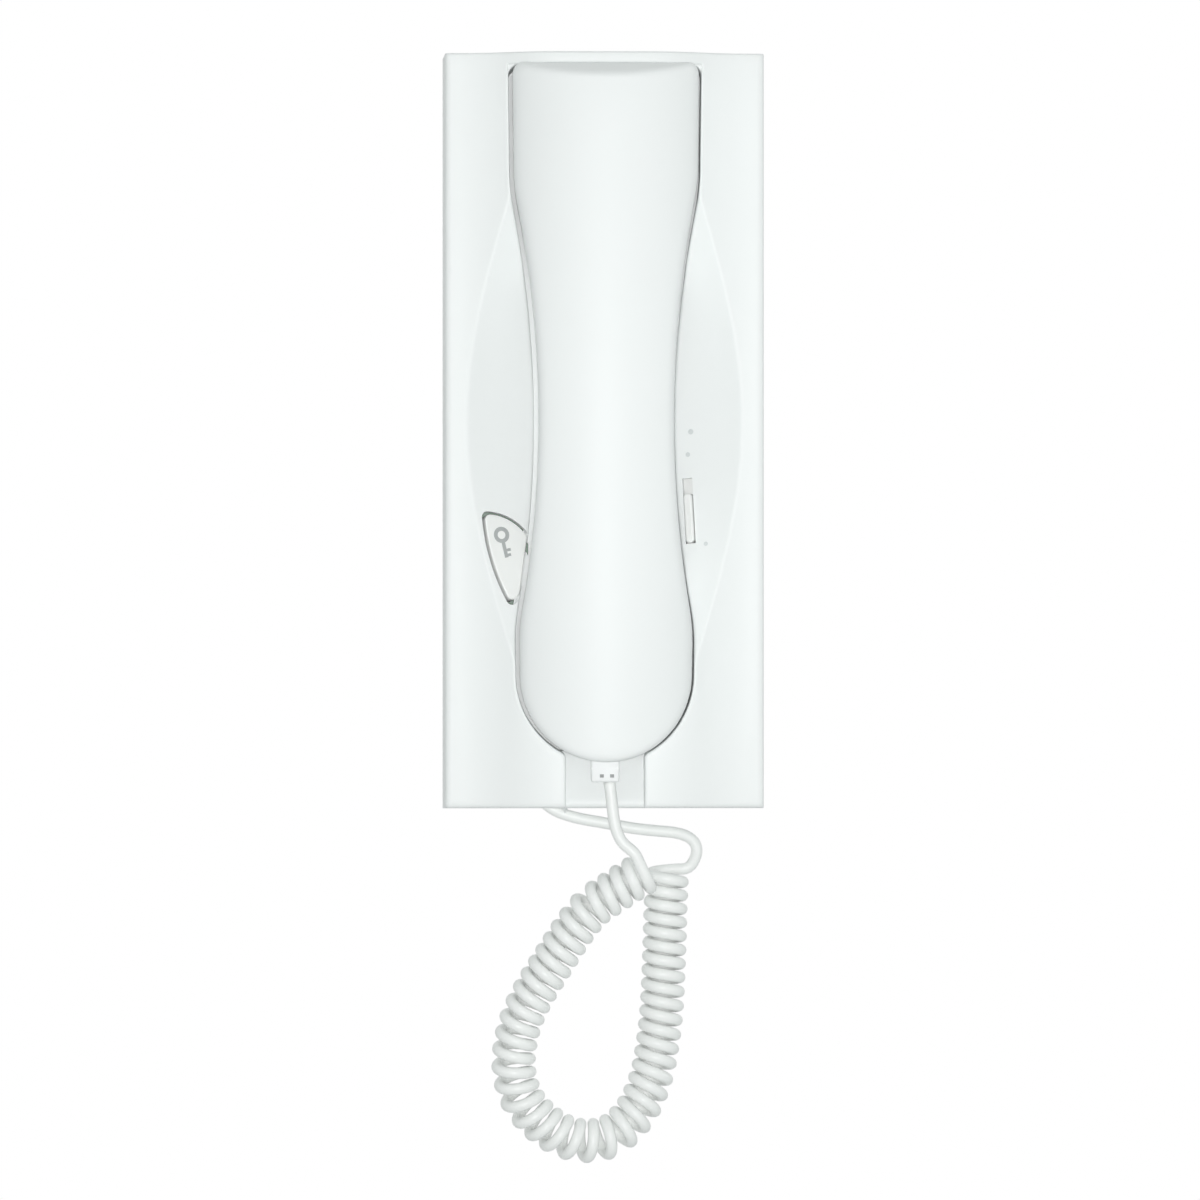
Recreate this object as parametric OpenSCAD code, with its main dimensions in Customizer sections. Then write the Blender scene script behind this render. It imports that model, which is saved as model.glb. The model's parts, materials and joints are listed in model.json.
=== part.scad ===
// Wall-mounted audio door-entry handset with its base and curly cord, in millimetres.
// X runs to the viewer's right and Z up; depths are counted from the wall at Y = 0 towards -Y.

/* [Base] */
// Width of the base at the wall
base_w = 90; // [88:1:100]
// Height of the base
base_h = 210; // [208:1:230]
// Depth of the base along its outer edges
edge_d = 24; // [22:0.5:27]
// How far the middle of the base stands in front of its edges
swell = 8; // [6:0.5:10]
// Width of the flat crest in the middle of the base
crest_w = 24; // [16:1:30]
// Width of the flat margin along each side of the base
margin_w = 3; // [2:0.5:6]
// Wall thickness of the cover
cover_wall = 2.2; // [1.8:0.1:2.6]
// How far each side of the cover leans in from the wall to the edge depth
draft = 1.2; // [0.6:0.1:1.8]
// Thickness of the wall plate
plate_t = 2.4; // [2:0.1:3]
// Gap between the wall plate and the cover around it
plate_gap = 0.3; // [0.2:0.05:0.6]
// Depth of the pocket floor behind the handset
pocket_floor = 16; // [15:0.5:18]
// Gap between the handset and the sides of its pocket
pocket_gap = 1.2; // [0.8:0.1:2]
// Thickness of the rim above the handset
rim_t = 3.2; // [2.6:0.1:4]
// Gap between the rim and the top of the handset
rim_gap = 0.6; // [0.4:0.1:1.2]
// Height of the pads that the handset rests on
pad_h = 1.7; // [1:0.1:2.5]
// Gap between pieces that rest on each other
rest_gap = 0.3; // [0.2:0.05:0.5]
// Half width of the finger hollows at their widest
hollow_half_w = 37.8; // [34:0.2:40]
// How far the finger hollows go below the pocket floor in the middle
hollow_sink = 1; // [0.5:0.1:2]
// Width of the cord channel below the handset
channel_w = 21.6; // [16:0.2:26]
// Depth of the cord channel's floor at the pocket
channel_d = 18; // [17:0.5:20]

/* [Wall fixing] */
// Spacing of the wall screws across
screw_span_x = 60; // [50:1:70]
// Spacing of the wall screws up and down
screw_span_z = 152; // [140:1:170]
// Radius of the wall screw holes
wall_hole_r = 2.25; // [1.8:0.05:3]
// Width of the cable entry
entry_w = 30; // [20:1:40]
// Height of the cable entry
entry_h = 20; // [14:1:24]

/* [Handset] */
// Length of the handset
handset_len = 191.4; // [184:0.2:196]
// Width of the handset at the earpiece
ear_w = 50.6; // [46:0.2:54]
// Width of the handset at the mouthpiece
mouth_w = 46.4; // [45:0.2:52]
// Width of the handset at its waist
waist_w = 36.4; // [34:0.2:40]
// Length of the waist between its two ends
waist_len = 121; // [110:1:125]
// Depth of the parting line between the shells
parting_d = 38; // [36:0.5:42]
// Depth of the back of the grip
grip_d = 33; // [30:0.5:34]
// Half the length of the arch behind the grip
arch_half = 48; // [44:0.5:50]
// Depth of the handset's front along its middle
crown_d = 57; // [54:0.5:62]
// Radius of the front across the handset
front_r = 34; // [30:0.5:50]
// Radius of the front along the handset
front_len_r = 1100; // [700:50:2000]
// Wall thickness of the handset shells
shell_wall = 2.2; // [1.8:0.1:2.6]
// Lean of the handset's top end, in degrees
top_lean = 20; // [12:1:24]
// Radius of the ear cup
cup_r = 16; // [14:0.5:17]
// Depth of the ear cup
cup_t = 3.5; // [2.5:0.1:3.8]
// Distance of the ear cup's middle below the top end
ear_drop = 23.2; // [21:0.2:26]
// Radius of the earpiece
earpiece_r = 15.5; // [13:0.5:16]
// Thickness of the earpiece
earpiece_t = 6; // [5:0.5:7]
// Thickness of the gasket under the earpiece
gasket_t = 1; // [0.6:0.1:1.4]
// Radius of the microphone
mic_r = 4.85; // [4:0.05:5]
// Thickness of the microphone
mic_t = 6; // [5:0.5:7]

/* [Screws] */
// Radius of the shell screws
shell_screw_r = 1.5; // [1.2:0.1:1.8]
// Radius of the cover screws
cover_screw_r = 1.5; // [1.2:0.1:1.8]
// Radius of the board screws
board_screw_r = 1.1; // [0.9:0.1:1.3]
// Play of a screw in the hole it is driven into
thread_play = 0.05; // [0.02:0.01:0.1]
// Play of a screw in the hole it passes through
shank_play = 0.35; // [0.25:0.05:0.5]

/* [Board] */
// Width of the board
board_w = 74; // [70:1:76]
// Length of the board
board_len = 92; // [88:1:96]
// Thickness of the board
board_t = 1.6; // [1:0.2:2]
// Gap between the wall plate and the board
board_gap = 1.6; // [1.4:0.1:2]
// Distance of the board screws from the edges of the board
board_in = 4; // [3.4:0.1:5]
// Radius of the ringer
ringer_r = 11.5; // [9:0.5:13]
// Spacing of the terminals
pole_pitch = 6; // [5:0.5:6.5]
// Height of the terminal block
term_t = 10; // [8:0.5:11]

/* [Hook] */
// Radius of the hinge pin
pin_r = 1; // [0.8:0.1:1.2]
// Running clearance of the lever on its pin
pin_play = 0.05; // [0.02:0.01:0.1]
// Width of the hook lever
lever_w = 9; // [7:0.5:11]
// Reach of the lever from its pin to its nose
lever_reach = 20; // [18:0.5:22]
// Length of the lever behind its pin
lever_tail = 10; // [8:0.5:12]
// Swing of the lever when the handset is away, in degrees
lever_swing = 9; // [6:0.5:10]

/* [Door button] */
// How far the button stands out of its hollow
button_proud = 0.8; // [0.4:0.1:1.4]
// Travel of the button
button_travel = 1.2; // [0.8:0.1:1.6]
// Gap around the button
button_gap = 0.5; // [0.35:0.05:0.8]

/* [Volume slider] */
// Length of the slider knob
knob_len = 13.6; // [11:0.2:16]
// Width of the slider knob
knob_w = 2.2; // [1.8:0.1:3]
// Travel of the slider
knob_travel = 4; // [3:0.5:6]
// Gap around the slider knob
knob_gap = 0.4; // [0.3:0.05:0.6]

/* [Cord] */
// Diameter of the cord
cord_d = 3.2; // [2.8:0.1:3.4]
// Outer diameter of the curls
curl_od = 12.6; // [12:0.1:13]
// Number of curls
curls = 42; // [36:1:44]

/* [View] */
// Piece to draw

/* [Hidden] */
$fn = 64;

// Handset places
top_z = base_h / 2 - rim_t - rim_gap;
low_z = top_z - handset_len;
mouth_z = low_z + mouth_w / 2;
waist_z = (top_z + low_z) / 2 - 3;
ear_z = top_z - ear_drop;
mic_z = mouth_z + 4.5;
back_d = pocket_floor + pad_h + rest_gap;
waist_sag = (ear_w + mouth_w) / 4 - waist_w / 2;
waist_r = (pow(waist_len / 2, 2) + pow(waist_sag, 2)) / (2 * waist_sag);
arch_sag = grip_d - back_d;
arch_r = (pow(arch_half, 2) + pow(arch_sag, 2)) / (2 * arch_sag);
shell_x = 16;
shell_up = waist_len / 2 - 7;
shell_down = waist_len / 2 - 2;
shell_spots = [for (sx = [-1, 1], z = [shell_up, -shell_down]) [sx * shell_x, waist_z + z]];
shell_head_d = back_d + 8;
boss_r = 3.6;

// Base sweep from the margin up to the crest
foot_x = base_w / 2 - draft - margin_w;
crest_x = crest_w / 2;
sweep_r = (pow(foot_x - crest_x, 2) + pow(swell, 2)) / (4 * swell);
sweep_a = asin((foot_x - crest_x) / 2 / sweep_r);
crest_d = edge_d + swell;
floor_in = pocket_floor - cover_wall;
pad_r = 2.5;

// Finger hollow: a barrel with an upright axis in front of the base
function sweep_depth(x) = x > (foot_x + crest_x) / 2
    ? edge_d + sweep_r - sqrt(pow(sweep_r, 2) - pow(foot_x - x, 2))
    : crest_d - sweep_r + sqrt(pow(sweep_r, 2) - pow(x - crest_x, 2));
tip_x = ear_w / 2 + pocket_gap;
wide_d = sweep_depth(hollow_half_w);
barrel_low = pocket_floor - hollow_sink;
barrel_d = (pow(hollow_half_w, 2) + pow(wide_d, 2) - pow(barrel_low, 2)) / (2 * (wide_d - barrel_low));
barrel_r = barrel_d - barrel_low;
barrel_tip_r = sqrt(pow(tip_x, 2) + pow(barrel_d - sweep_depth(tip_x), 2));
barrel_drop = barrel_r - barrel_tip_r;
barrel_arc = (pow(waist_len / 2, 2) + pow(barrel_drop, 2)) / (2 * barrel_drop);
function barrel_at(z) = barrel_r - barrel_arc + sqrt(pow(barrel_arc, 2) - pow(z - waist_z, 2));
function hollow_depth(x, z) = barrel_d - sqrt(pow(barrel_at(z), 2) - x * x);

// Board
board_d = plate_t + board_gap;
board_top = board_d + board_t;
board_z0 = waist_z - 52.5;
board_z1 = board_z0 + board_len;
poles = 4;
term_w = 8;
term_x = board_w / 2 - term_w - 1;
term_z = board_z1 - board_in - poles * pole_pitch;
board_x = board_w / 2 - board_in;
board_spots = [[-board_x, board_z1 - board_in], [board_x, term_z - board_in - 1],
    [-board_x, board_z0 + board_in], [board_x, board_z0 + board_in]];
ringer_rise = 22;
ringer_z = board_z0 + ringer_rise;
slit_w = 1.6;
slit_len = 15;
slit_pitch = 4;
cover_head_r = 2.9;
cover_top = 9;
cover_low = 6;
cover_foot = 20.8;
cover_spots = [base_h / 2 - cover_top, max(low_z + cover_low, -base_h / 2 + cover_foot)];

// Hook
nose_half = 3;
nose_z = waist_z + arch_half + nose_half + 0.8;
pivot_z = nose_z - lever_reach;
pivot_d = floor_in - 2.9;
hub_r = 2.4;
lug_t = 3;
lug_x = lever_w / 2 + 0.4;
spring_z = nose_z - 8;
spring_r = 2.1;
arm_t = 2;
arm_d = pivot_d - hub_r + 0.2;
nose_out = back_d - rest_gap - pivot_d;
nose_drop = nose_out * sin(lever_swing) + (lever_reach + nose_half) * (1 - cos(lever_swing));
nose_gap = 0.8;
tail_back = 1.2;
contact_t = 0.3;
contact_d = pivot_d - tail_back - rest_gap;

// Door button frame on the left hollow
button_x = -27;
button_z = waist_z - 37.5;
button_turn = asin(-button_x / barrel_at(button_z));
button_tip = asin((waist_z - button_z) / barrel_arc);
button_d = hollow_depth(button_x, button_z);
button_lie = cos(button_turn) * cos(button_tip);
stem_r = 2;
dome_wall = 1.8;
dome_r = 4.4;
dome_top = board_top + dome_wall + 0.6 + button_travel;
stem_len = (button_d - dome_top - rest_gap - stem_r) / button_lie;
dome_x = button_x - stem_len * sin(button_turn) * cos(button_tip);
dome_z = button_z - stem_len * sin(button_tip);
leaf_a = [-6.2, 12.3];
leaf_b = [7.4, 4.4];
leaf_c = [0.5, -13.4];

// Slider frame on the right hollow
slider_x = 23.5;
slider_lean = -5;
slider_z = waist_z - 26.5;
slider_turn = asin(slider_x / barrel_at(slider_z));
slider_d = hollow_depth(slider_x, slider_z);
slider_sink = barrel_at(slider_z + knob_len / 2 + knob_travel + 1.5) - barrel_at(slider_z);
slider_flange = cover_wall + slider_sink + 0.4;
switch_h = 3;
prong_len = (slider_d - board_top - switch_h + 1.2) / cos(slider_turn);
switch_x = slider_x + (slider_d - board_top - switch_h / 2) * tan(slider_turn)
    + sin(slider_lean) * cos(slider_turn) * knob_travel / 2;

// Plug and jack at the lower end of the handset
plug_w = 7.7;
plug_t = 6.6;
plug_d = 27.6;
plug_low = low_z - 6.2;
plug_high = low_z + 12;
jack_play = 0.25;

// Seats inside the handset
ear_floor = 2;
ear_seat = back_d + cup_t + ear_floor;
magnet_r = 9;
wire_top = ear_seat + gasket_t + earpiece_t + 3;
mic_seat = back_d + shell_wall;
boot_floor = 1.2;
boot_wall = 1.5;
mic_top = mic_seat + boot_floor + thread_play + mic_t;
jack_half = 6;
jack_back = plug_d + 6;
jack_low = low_z + 3.6;
jack_high = plug_high + 3.5;
pin_pitch = 1.27;

// Cord: the axis of the curls and the free stretches, as points of X, depth and height over the base's foot
foot_z = -base_h / 2;
curl_r = (curl_od - cord_d) / 2;
axis_pts = [[11, 23, -16.5], [3, 22.6, -21.6], [-5, 22, -27.8], [-14, 21, -41], [-22, 20, -55],
    [-25, 19, -67.5], [-23.6, 18, -77.4], [-19, 17, -84.4], [-12, 16, -89.6], [-4.5, 15, -91.4],
    [2.8, 14, -89.6], [9, 13, -83.4], [13, 12, -74.5], [15, 11.4, -64.6], [16.2, 11, -53.4],
    [16.8, 10.7, -39.6], [17.2, 10.5, -27], [17.6, 10.5, -17]];
lead_pts = [[1.7, 27.6, 3.4], [2.2, 27.6, 8.2], [3, 27.7, 12.8], [4.8, 27.7, 16.8]];
tail_pts = [[26.2, 6.2, -11.8], [24.8, 6.6, -8.4], [20.6, 7, -6.6], [15, 7.3, -6],
    [8, 7.6, -5.2], [0, 7.8, -3.7], [-8, 8, -2.2], [-14, 8, 0], [-17.8, 8, 3.4], [-19, 8, 6.6]];
tail_end = [-19, 8, 9.5];

clamp_half = 5;
clamp_len = 10;
slot_gap = 1;
function spread(p) = [p[0], -p[1], p[2]];
function hung(p) = [p[0], -p[1], p[2] + foot_z];
function unit(v) = v / norm(v);
function knot(p, i) = i < 0 ? 2 * p[0] - p[1] : i >= len(p) ? 2 * p[len(p) - 1] - p[len(p) - 2] : p[i];
function curve4(a, b, c, d, t) = 0.5 * (2 * b + (c - a) * t + (2 * a - 5 * b + 4 * c - d) * t * t
    + (3 * b - a - 3 * c + d) * t * t * t);
function curve(p, u) = let (i = min(floor(u), len(p) - 2))
    curve4(knot(p, i - 1), knot(p, i), knot(p, i + 1), knot(p, i + 2), u - i);
function slope(p, u) = let (h = 0.02, a = max(u - h, 0), b = min(u + h, len(p) - 1))
    unit(curve(p, b) - curve(p, a));

// Curls are spaced evenly along the inner side of the loop
axis_line = [for (p = axis_pts) hung(p)];
axis_n = (len(axis_pts) - 1) * 10;
function axis_side(u) = let (t = slope(axis_line, u)) unit(cross([0, -1, 0], t));
function inner(u) = curve(axis_line, u) + curl_r * axis_side(u);
inner_steps = [for (i = [1 : axis_n]) norm(inner(i / 10) - inner((i - 1) / 10))];
inner_sums = [for (s = 0, i = 0; i <= axis_n; s = s + (i < axis_n ? inner_steps[i] : 0), i = i + 1) s];
inner_table = [for (i = [0 : axis_n]) [inner_sums[i], i / 10]];
curl_rings = curls * 8 + 4;
function curl_out(u, a) = let (t = slope(axis_line, u), f = unit([0, -1, 0] - t * (t * [0, -1, 0])))
    f * cos(a) - cross(t, f) * sin(a);
function curl_u(k) = lookup(k / curl_rings * inner_sums[axis_n], inner_table);
function curl_pt(k) = curve(axis_line, curl_u(k)) + curl_r * curl_out(curl_u(k), k * 45);
curl_line = [for (k = [0 : curl_rings]) curl_pt(k)];
curl_head = unit(curl_pt(0.2) - curl_pt(0));
curl_foot = unit(curl_pt(curl_rings) - curl_pt(curl_rings - 0.2));
curl_start = curl_line[0] - curl_head * cord_d;
curl_end = curl_line[curl_rings] + curl_foot * cord_d;
plug_end = [1.2, -plug_d, plug_low];
lead_line = concat([plug_end], [for (p = lead_pts) [p[0], -p[1], plug_low - p[2]]],
    [curl_start - curl_head * cord_d, curl_start]);
tail_line = concat([curl_end, curl_end + curl_foot * cord_d], [for (p = tail_pts) hung(p)], [hung(tail_end)]);

// Extrudes an outline of X and Z from one depth to another
module out(d0, d1) {
    translate([0, -d0, 0])
        rotate([90, 0, 0])
            linear_extrude(d1 - d0)
                children();
}

// Extrudes an outline of X and depth along Z
module up(z0, z1) {
    translate([0, 0, z0])
        mirror([0, 1, 0])
            linear_extrude(z1 - z0)
                children();
}

// Extrudes an outline of depth and Z along X
module across(x0, x1) {
    translate([x1, 0, 0])
        rotate([90, 0, -90])
            linear_extrude(x1 - x0)
                children();
}

module at(p) {
    translate([p[0], 0, p[1]])
        children();
}

module rod(r, d0, d1) {
    translate([0, -d0, 0])
        rotate([90, 0, 0])
            cylinder(r = r, h = d1 - d0);
}

module rod_x(r, x0, x1) {
    translate([x0, 0, 0])
        rotate([0, 90, 0])
            cylinder(r = r, h = x1 - x0);
}

module block(x0, x1, d0, d1, z0, z1) {
    translate([x0, -d1, z0])
        cube([x1 - x0, d1 - d0, z1 - z0]);
}

// Tube of n sides through points, with its end rings square to the directions given
module tube(pts, r, n, ref, head, foot) {
    m = len(pts);
    runs = [for (i = [0 : m - 1]) i == 0 ? head : i == m - 1 ? foot : unit(pts[i + 1] - pts[i - 1])];
    sides = [for (i = [0 : m - 1]) unit(cross(runs[i], ref))];
    rings = [for (i = [0 : m - 1], j = [0 : n - 1])
        pts[i] + r * (sides[i] * cos(j * 360 / n) + cross(runs[i], sides[i]) * sin(j * 360 / n))];
    walls = [for (i = [0 : m - 2], j = [0 : n - 1], h = [0, 1])
        let (a = i * n + j, b = i * n + (j + 1) % n)
            h == 0 ? [a, a + n, b + n] : [a, b + n, b]];
    caps = [for (j = [1 : n - 2], h = [0, 1])
        let (e = (m - 1) * n)
            h == 0 ? [0, j, j + 1] : [e, e + j + 1, e + j]];
    polyhedron(points = rings, faces = concat(walls, caps), convexity = 8);
}

function sample(p, k) = [for (i = [0 : (len(p) - 1) * k]) curve(p, i / k)];

// Half outline of the base seen from above
module base_half(back) {
    join_x = (foot_x + crest_x) / 2;
    polygon([[0, back], [base_w / 2 - draft * back / edge_d, back], [base_w / 2 - draft, edge_d], [0, edge_d]]);
    translate([0, back])
        square([crest_x, crest_d - back]);
    intersection() {
        translate([crest_x, crest_d - sweep_r])
            circle(r = sweep_r, $fn = 128);
        translate([crest_x - 0.5, back])
            square([join_x - crest_x + 0.5, crest_d]);
    }
    difference() {
        translate([join_x - 0.5, back])
            square([foot_x - join_x + 0.5, edge_d + swell / 2 - back]);
        translate([foot_x, edge_d + sweep_r])
            circle(r = sweep_r, $fn = 128);
    }
}

// Half outline of the space inside the cover, with its slope in short straight steps
module inside_half() {
    drop = cover_wall * 1.12;
    steps = 6;
    side = base_w / 2 - cover_wall;
    polygon(concat([[-1, -1], [side, -1], [side - draft, edge_d - drop]],
        [for (i = [0 : steps])
            let (x = foot_x - i * (foot_x - crest_x) / steps) [x, sweep_depth(x) - drop]],
        [[-1, crest_d - drop]]));
}

// Leaning top and bottom of the base, inset by t
module base_lean(t) {
    lean = draft / edge_d;
    across(-base_w, base_w)
        polygon([[-2, -base_h / 2 + t], [0, -base_h / 2 + t], [60, -base_h / 2 + t + lean * 60],
            [60, base_h / 2 - t - lean * 60], [0, base_h / 2 - t], [-2, base_h / 2 - t]]);
}

module base_block(back) {
    intersection() {
        up(-base_h / 2, base_h / 2)
            union() {
                base_half(back);
                mirror([1, 0])
                    base_half(back);
            }
        base_lean(0);
    }
}

module inside_block() {
    intersection() {
        up(-base_h / 2, base_h / 2)
            union() {
                inside_half();
                mirror([1, 0])
                    inside_half();
            }
        base_lean(cover_wall);
    }
}

// Front outline of the handset, inset by t, with its top end at the height given
module handset_outline(t, top) {
    ear = ear_w / 2 - t;
    mouth = mouth_w / 2 - t;
    difference() {
        union() {
            polygon([[-ear, top], [ear, top], [mouth, mouth_z], [-mouth, mouth_z]]);
            translate([0, mouth_z])
                circle(r = mouth);
        }
        for (s = [-1, 1])
            translate([s * (waist_w / 2 + waist_r), waist_z])
                circle(r = waist_r + t, $fn = 256);
    }
}

// Pocket for the handset, grown by t beyond its own gaps
module pocket(t, floor_d) {
    out(floor_d, 80)
        handset_outline(-pocket_gap - t, top_z + rim_gap + t);
}

module barrel(t) {
    translate([0, -barrel_d, waist_z])
        rotate_extrude($fn = 160)
            intersection() {
                translate([barrel_r - barrel_arc, 0])
                    circle(r = barrel_arc + t, $fn = 256);
                translate([0, -90])
                    square([barrel_r + 10, 180]);
            }
}

module hollow(t, floor_d) {
    intersection() {
        barrel(t);
        block(-base_w / 2, base_w / 2, floor_d, crest_d + 4, waist_z - 80, waist_z + 80);
    }
}

module channel(t) {
    half = channel_w / 2 + t;
    across(-half, half)
        polygon([[channel_d - t, mouth_z], [70, mouth_z], [70, -base_h / 2 - 5],
            [channel_d + 7 - t, -base_h / 2 - 5], [channel_d - t, low_z + 2]]);
}

// Centre of the arc of radius r from p to q that bulges away from the left side
function arc_mid(p, q, r) = let (d = q - p, l = norm(d), n = [-d[1], d[0]] / l)
    (p + q) / 2 + n * sqrt(r * r - l * l / 4);

module leaf(g) {
    intersection() {
        translate(arc_mid(leaf_a, leaf_c, 60))
            circle(r = 60 + g, $fn = 128);
        translate(arc_mid(leaf_c, leaf_b, 24))
            circle(r = 24 + g, $fn = 128);
        translate(arc_mid(leaf_b, leaf_a, 14))
            circle(r = 14 + g, $fn = 128);
    }
}

module at_button() {
    translate([button_x, -button_d, button_z])
        rotate([-button_tip, 0, button_turn])
            children();
}

module at_slider() {
    translate([slider_x, -slider_d, slider_z])
        rotate([0, slider_lean, -slider_turn])
            children();
}

module wall_plate() {
    half_w = base_w / 2 - draft * plate_t / edge_d - cover_wall - plate_gap;
    half_h = base_h / 2 - draft * plate_t / edge_d - cover_wall - plate_gap;
    color("gainsboro")
        difference() {
            union() {
                block(-half_w, half_w, 0, plate_t, -half_h, half_h);
                for (p = board_spots)
                    at(p)
                        rod(3, plate_t / 2, board_d);
                for (z = cover_spots)
                    at([0, z])
                        rod(3.6, plate_t / 2, floor_in);
                at([0, spring_z])
                    rod(1.4, plate_t / 2, plate_t + 1.5);
            }
            for (sx = [-1, 1], sz = [-1, 1])
                at([sx * screw_span_x / 2, sz * screw_span_z / 2])
                    rod(wall_hole_r, -1, plate_t + 1);
            block(-entry_w / 2, entry_w / 2, -1, plate_t + 1, ear_z - 4 - entry_h / 2, ear_z - 4 + entry_h / 2);
            for (p = board_spots)
                at(p)
                    rod(board_screw_r + thread_play, 0.8, board_d + 1);
            for (z = cover_spots)
                at([0, z])
                    rod(cover_screw_r + thread_play, plate_t + 1, floor_in + 1);
        }
}

// Inside space of the cover, less the walls round the pocket, hollows, channel and hinge lugs
module cavity() {
    difference() {
        inside_block();
        pocket(cover_wall, floor_in);
        hollow(cover_wall, floor_in);
        channel(cover_wall);
        for (x = [-lug_x - lug_t, lug_x])
            block(x, x + lug_t, pivot_d - 2.6, floor_in + 1, pivot_z - 3.5, pivot_z + 3.5);
    }
}

module front_cover() {
    color("white")
        difference() {
            base_block(plate_gap);
            cavity();
            difference() {
                pocket(0, pocket_floor);
                at([0, ear_z])
                    rod(cup_r / 2, pocket_floor - 1, back_d + cup_t - rest_gap);
                for (sx = [-1, 1], p = [[ear_w / 2 - 6.3, top_z - 7], [mouth_w / 4 + 0.6, mouth_z - 10.5]])
                    at([sx * p[0], p[1]])
                        rod(pad_r, pocket_floor - 1, pocket_floor + pad_h);
            }
            hollow(0, pocket_floor);
            channel(0);
            translate([0, -pivot_d, pivot_z])
                rod_x(pin_r, -lug_x - lug_t - 1, lug_x + lug_t + 1);
            block(-lever_w / 2 - 0.5, lever_w / 2 + 0.5, floor_in - 1, pocket_floor + 1,
                nose_z - nose_half - nose_drop - nose_gap, nose_z + nose_half + nose_gap);
            for (z = cover_spots)
                at([0, z])
                    rod(cover_screw_r + shank_play, floor_in - 1, pocket_floor + 1);
            for (i = [-2 : 2])
                block(i * slit_pitch - slit_w / 2, i * slit_pitch + slit_w / 2, floor_in - 1, pocket_floor + 1,
                    ringer_z - slit_len / 2, ringer_z + slit_len / 2);
            at_button()
                out(-cover_wall * 2 - 3, 8)
                    leaf(button_gap);
            at_slider()
                block(-knob_w / 2 - knob_gap, knob_w / 2 + knob_gap, -cover_wall * 2 - 3, 6,
                    -knob_len / 2 - knob_gap, knob_len / 2 + knob_travel + knob_gap);
            block(tail_end[0] - cord_d / 2 - 1.4, tail_end[0] + cord_d * 3, tail_end[1] - cord_d / 2 - slot_gap,
                tail_end[1] + cord_d / 2 + slot_gap, foot_z - 1, foot_z + cover_wall + 1);
        }
}

// Cross recess of a screw head, between two depths
module cross_slot(length, width, d0, d1) {
    block(-length / 2, length / 2, d0, d1, -width / 2, width / 2);
    block(-width / 2, width / 2, d0, d1, -length / 2, length / 2);
}

module cover_screws() {
    head_d = back_d - 0.6;
    color("silver")
        for (z = cover_spots)
            at([0, z])
                difference() {
                    union() {
                        rod(cover_head_r, pocket_floor, head_d);
                        rod(cover_screw_r, plate_t + 1.6, pocket_floor);
                    }
                    cross_slot(cover_head_r * 1.2, 0.8, head_d - 0.9, head_d + 1);
                }
}

module main_board() {
    color("seagreen")
        difference() {
            block(-board_w / 2, board_w / 2, board_d, board_top, board_z0, board_z1);
            for (p = board_spots)
                at(p)
                    rod(board_screw_r + shank_play, board_d - 1, board_top + 1);
        }
}

module board_screws() {
    color("silver")
        for (p = board_spots)
            at(p)
                difference() {
                    union() {
                        rod(board_screw_r * 2, board_top, board_top + 1.3);
                        rod(board_screw_r, 1.2, board_top);
                    }
                    cross_slot(board_screw_r * 2.4, 0.6, board_top + 0.6, board_top + 2);
                }
}

module terminal_block() {
    color("forestgreen")
        difference() {
            block(term_x, term_x + term_w, board_top, board_top + term_t, term_z, term_z + poles * pole_pitch);
            for (i = [0 : poles - 1]) {
                at([term_x + term_w / 2, term_z + pole_pitch * (i + 0.5)])
                    rod(pole_pitch * 0.3 + thread_play, board_top + term_t - 6, board_top + term_t + 1);
                translate([term_x + term_w - 3, -(board_top + 2.6), term_z + pole_pitch * (i + 0.5)])
                    rod_x(1.3, 0, 4);
            }
        }
}

module terminal_screws() {
    color("silver")
        for (i = [0 : poles - 1])
            at([term_x + term_w / 2, term_z + pole_pitch * (i + 0.5)])
                difference() {
                    rod(pole_pitch * 0.3, board_top + term_t - 6, board_top + term_t - 1);
                    block(-2, 2, board_top + term_t - 1.8, board_top + term_t, -0.3, 0.3);
                }
}

module ringer() {
    color("dimgray")
        at([0, ringer_z])
            difference() {
                rod(ringer_r, board_top, floor_in - 1.6);
                rod(1.5, floor_in - 3, floor_in);
            }
}

module hook_lever() {
    half = lever_w / 2;
    color("whitesmoke")
        difference() {
            translate([0, -pivot_d, pivot_z])
                union() {
                    rod_x(hub_r, -half, half);
                    block(-half, half, arm_d - pivot_d, arm_d - pivot_d + arm_t, 0, lever_reach + nose_half);
                    block(-half, half, arm_d - pivot_d, nose_out, lever_reach - nose_half,
                        lever_reach + nose_half);
                    block(-half, half, -tail_back, arm_t - tail_back, -lever_tail, 0);
                }
            translate([0, -pivot_d, pivot_z])
                rod_x(pin_r + pin_play, -half - 1, half + 1);
        }
}

module hook_pin() {
    color("silver")
        translate([0, -pivot_d, pivot_z])
            rod_x(pin_r, -lug_x - lug_t, lug_x + lug_t);
}

module hook_spring() {
    wire = 0.35;
    low = plate_t + wire + 0.05;
    rise = arm_d - 2 * wire - plate_t - 0.1;
    turns = 4;
    color("silver")
        at([0, spring_z])
            tube([for (k = [0 : turns * 12])
                [spring_r * cos(k * 30), -low - rise * k / turns / 12, spring_r * sin(k * 30)]],
                wire, 6, [0, 1, 0], [0, 0, 1], [0, 0, 1]);
}

module hook_contacts() {
    color("goldenrod")
        at([0, pivot_z]) {
            block(0.5 - lever_w / 2, lever_w / 2 - 0.5, board_top, contact_d - contact_t, -lever_tail - 10,
                -lever_tail - 4);
            for (s = [-1, 1])
                block(s * 2 - 1.2, s * 2 + 1.2, contact_d - contact_t, contact_d, -lever_tail - 10,
                    4 - lever_tail);
        }
}

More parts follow.
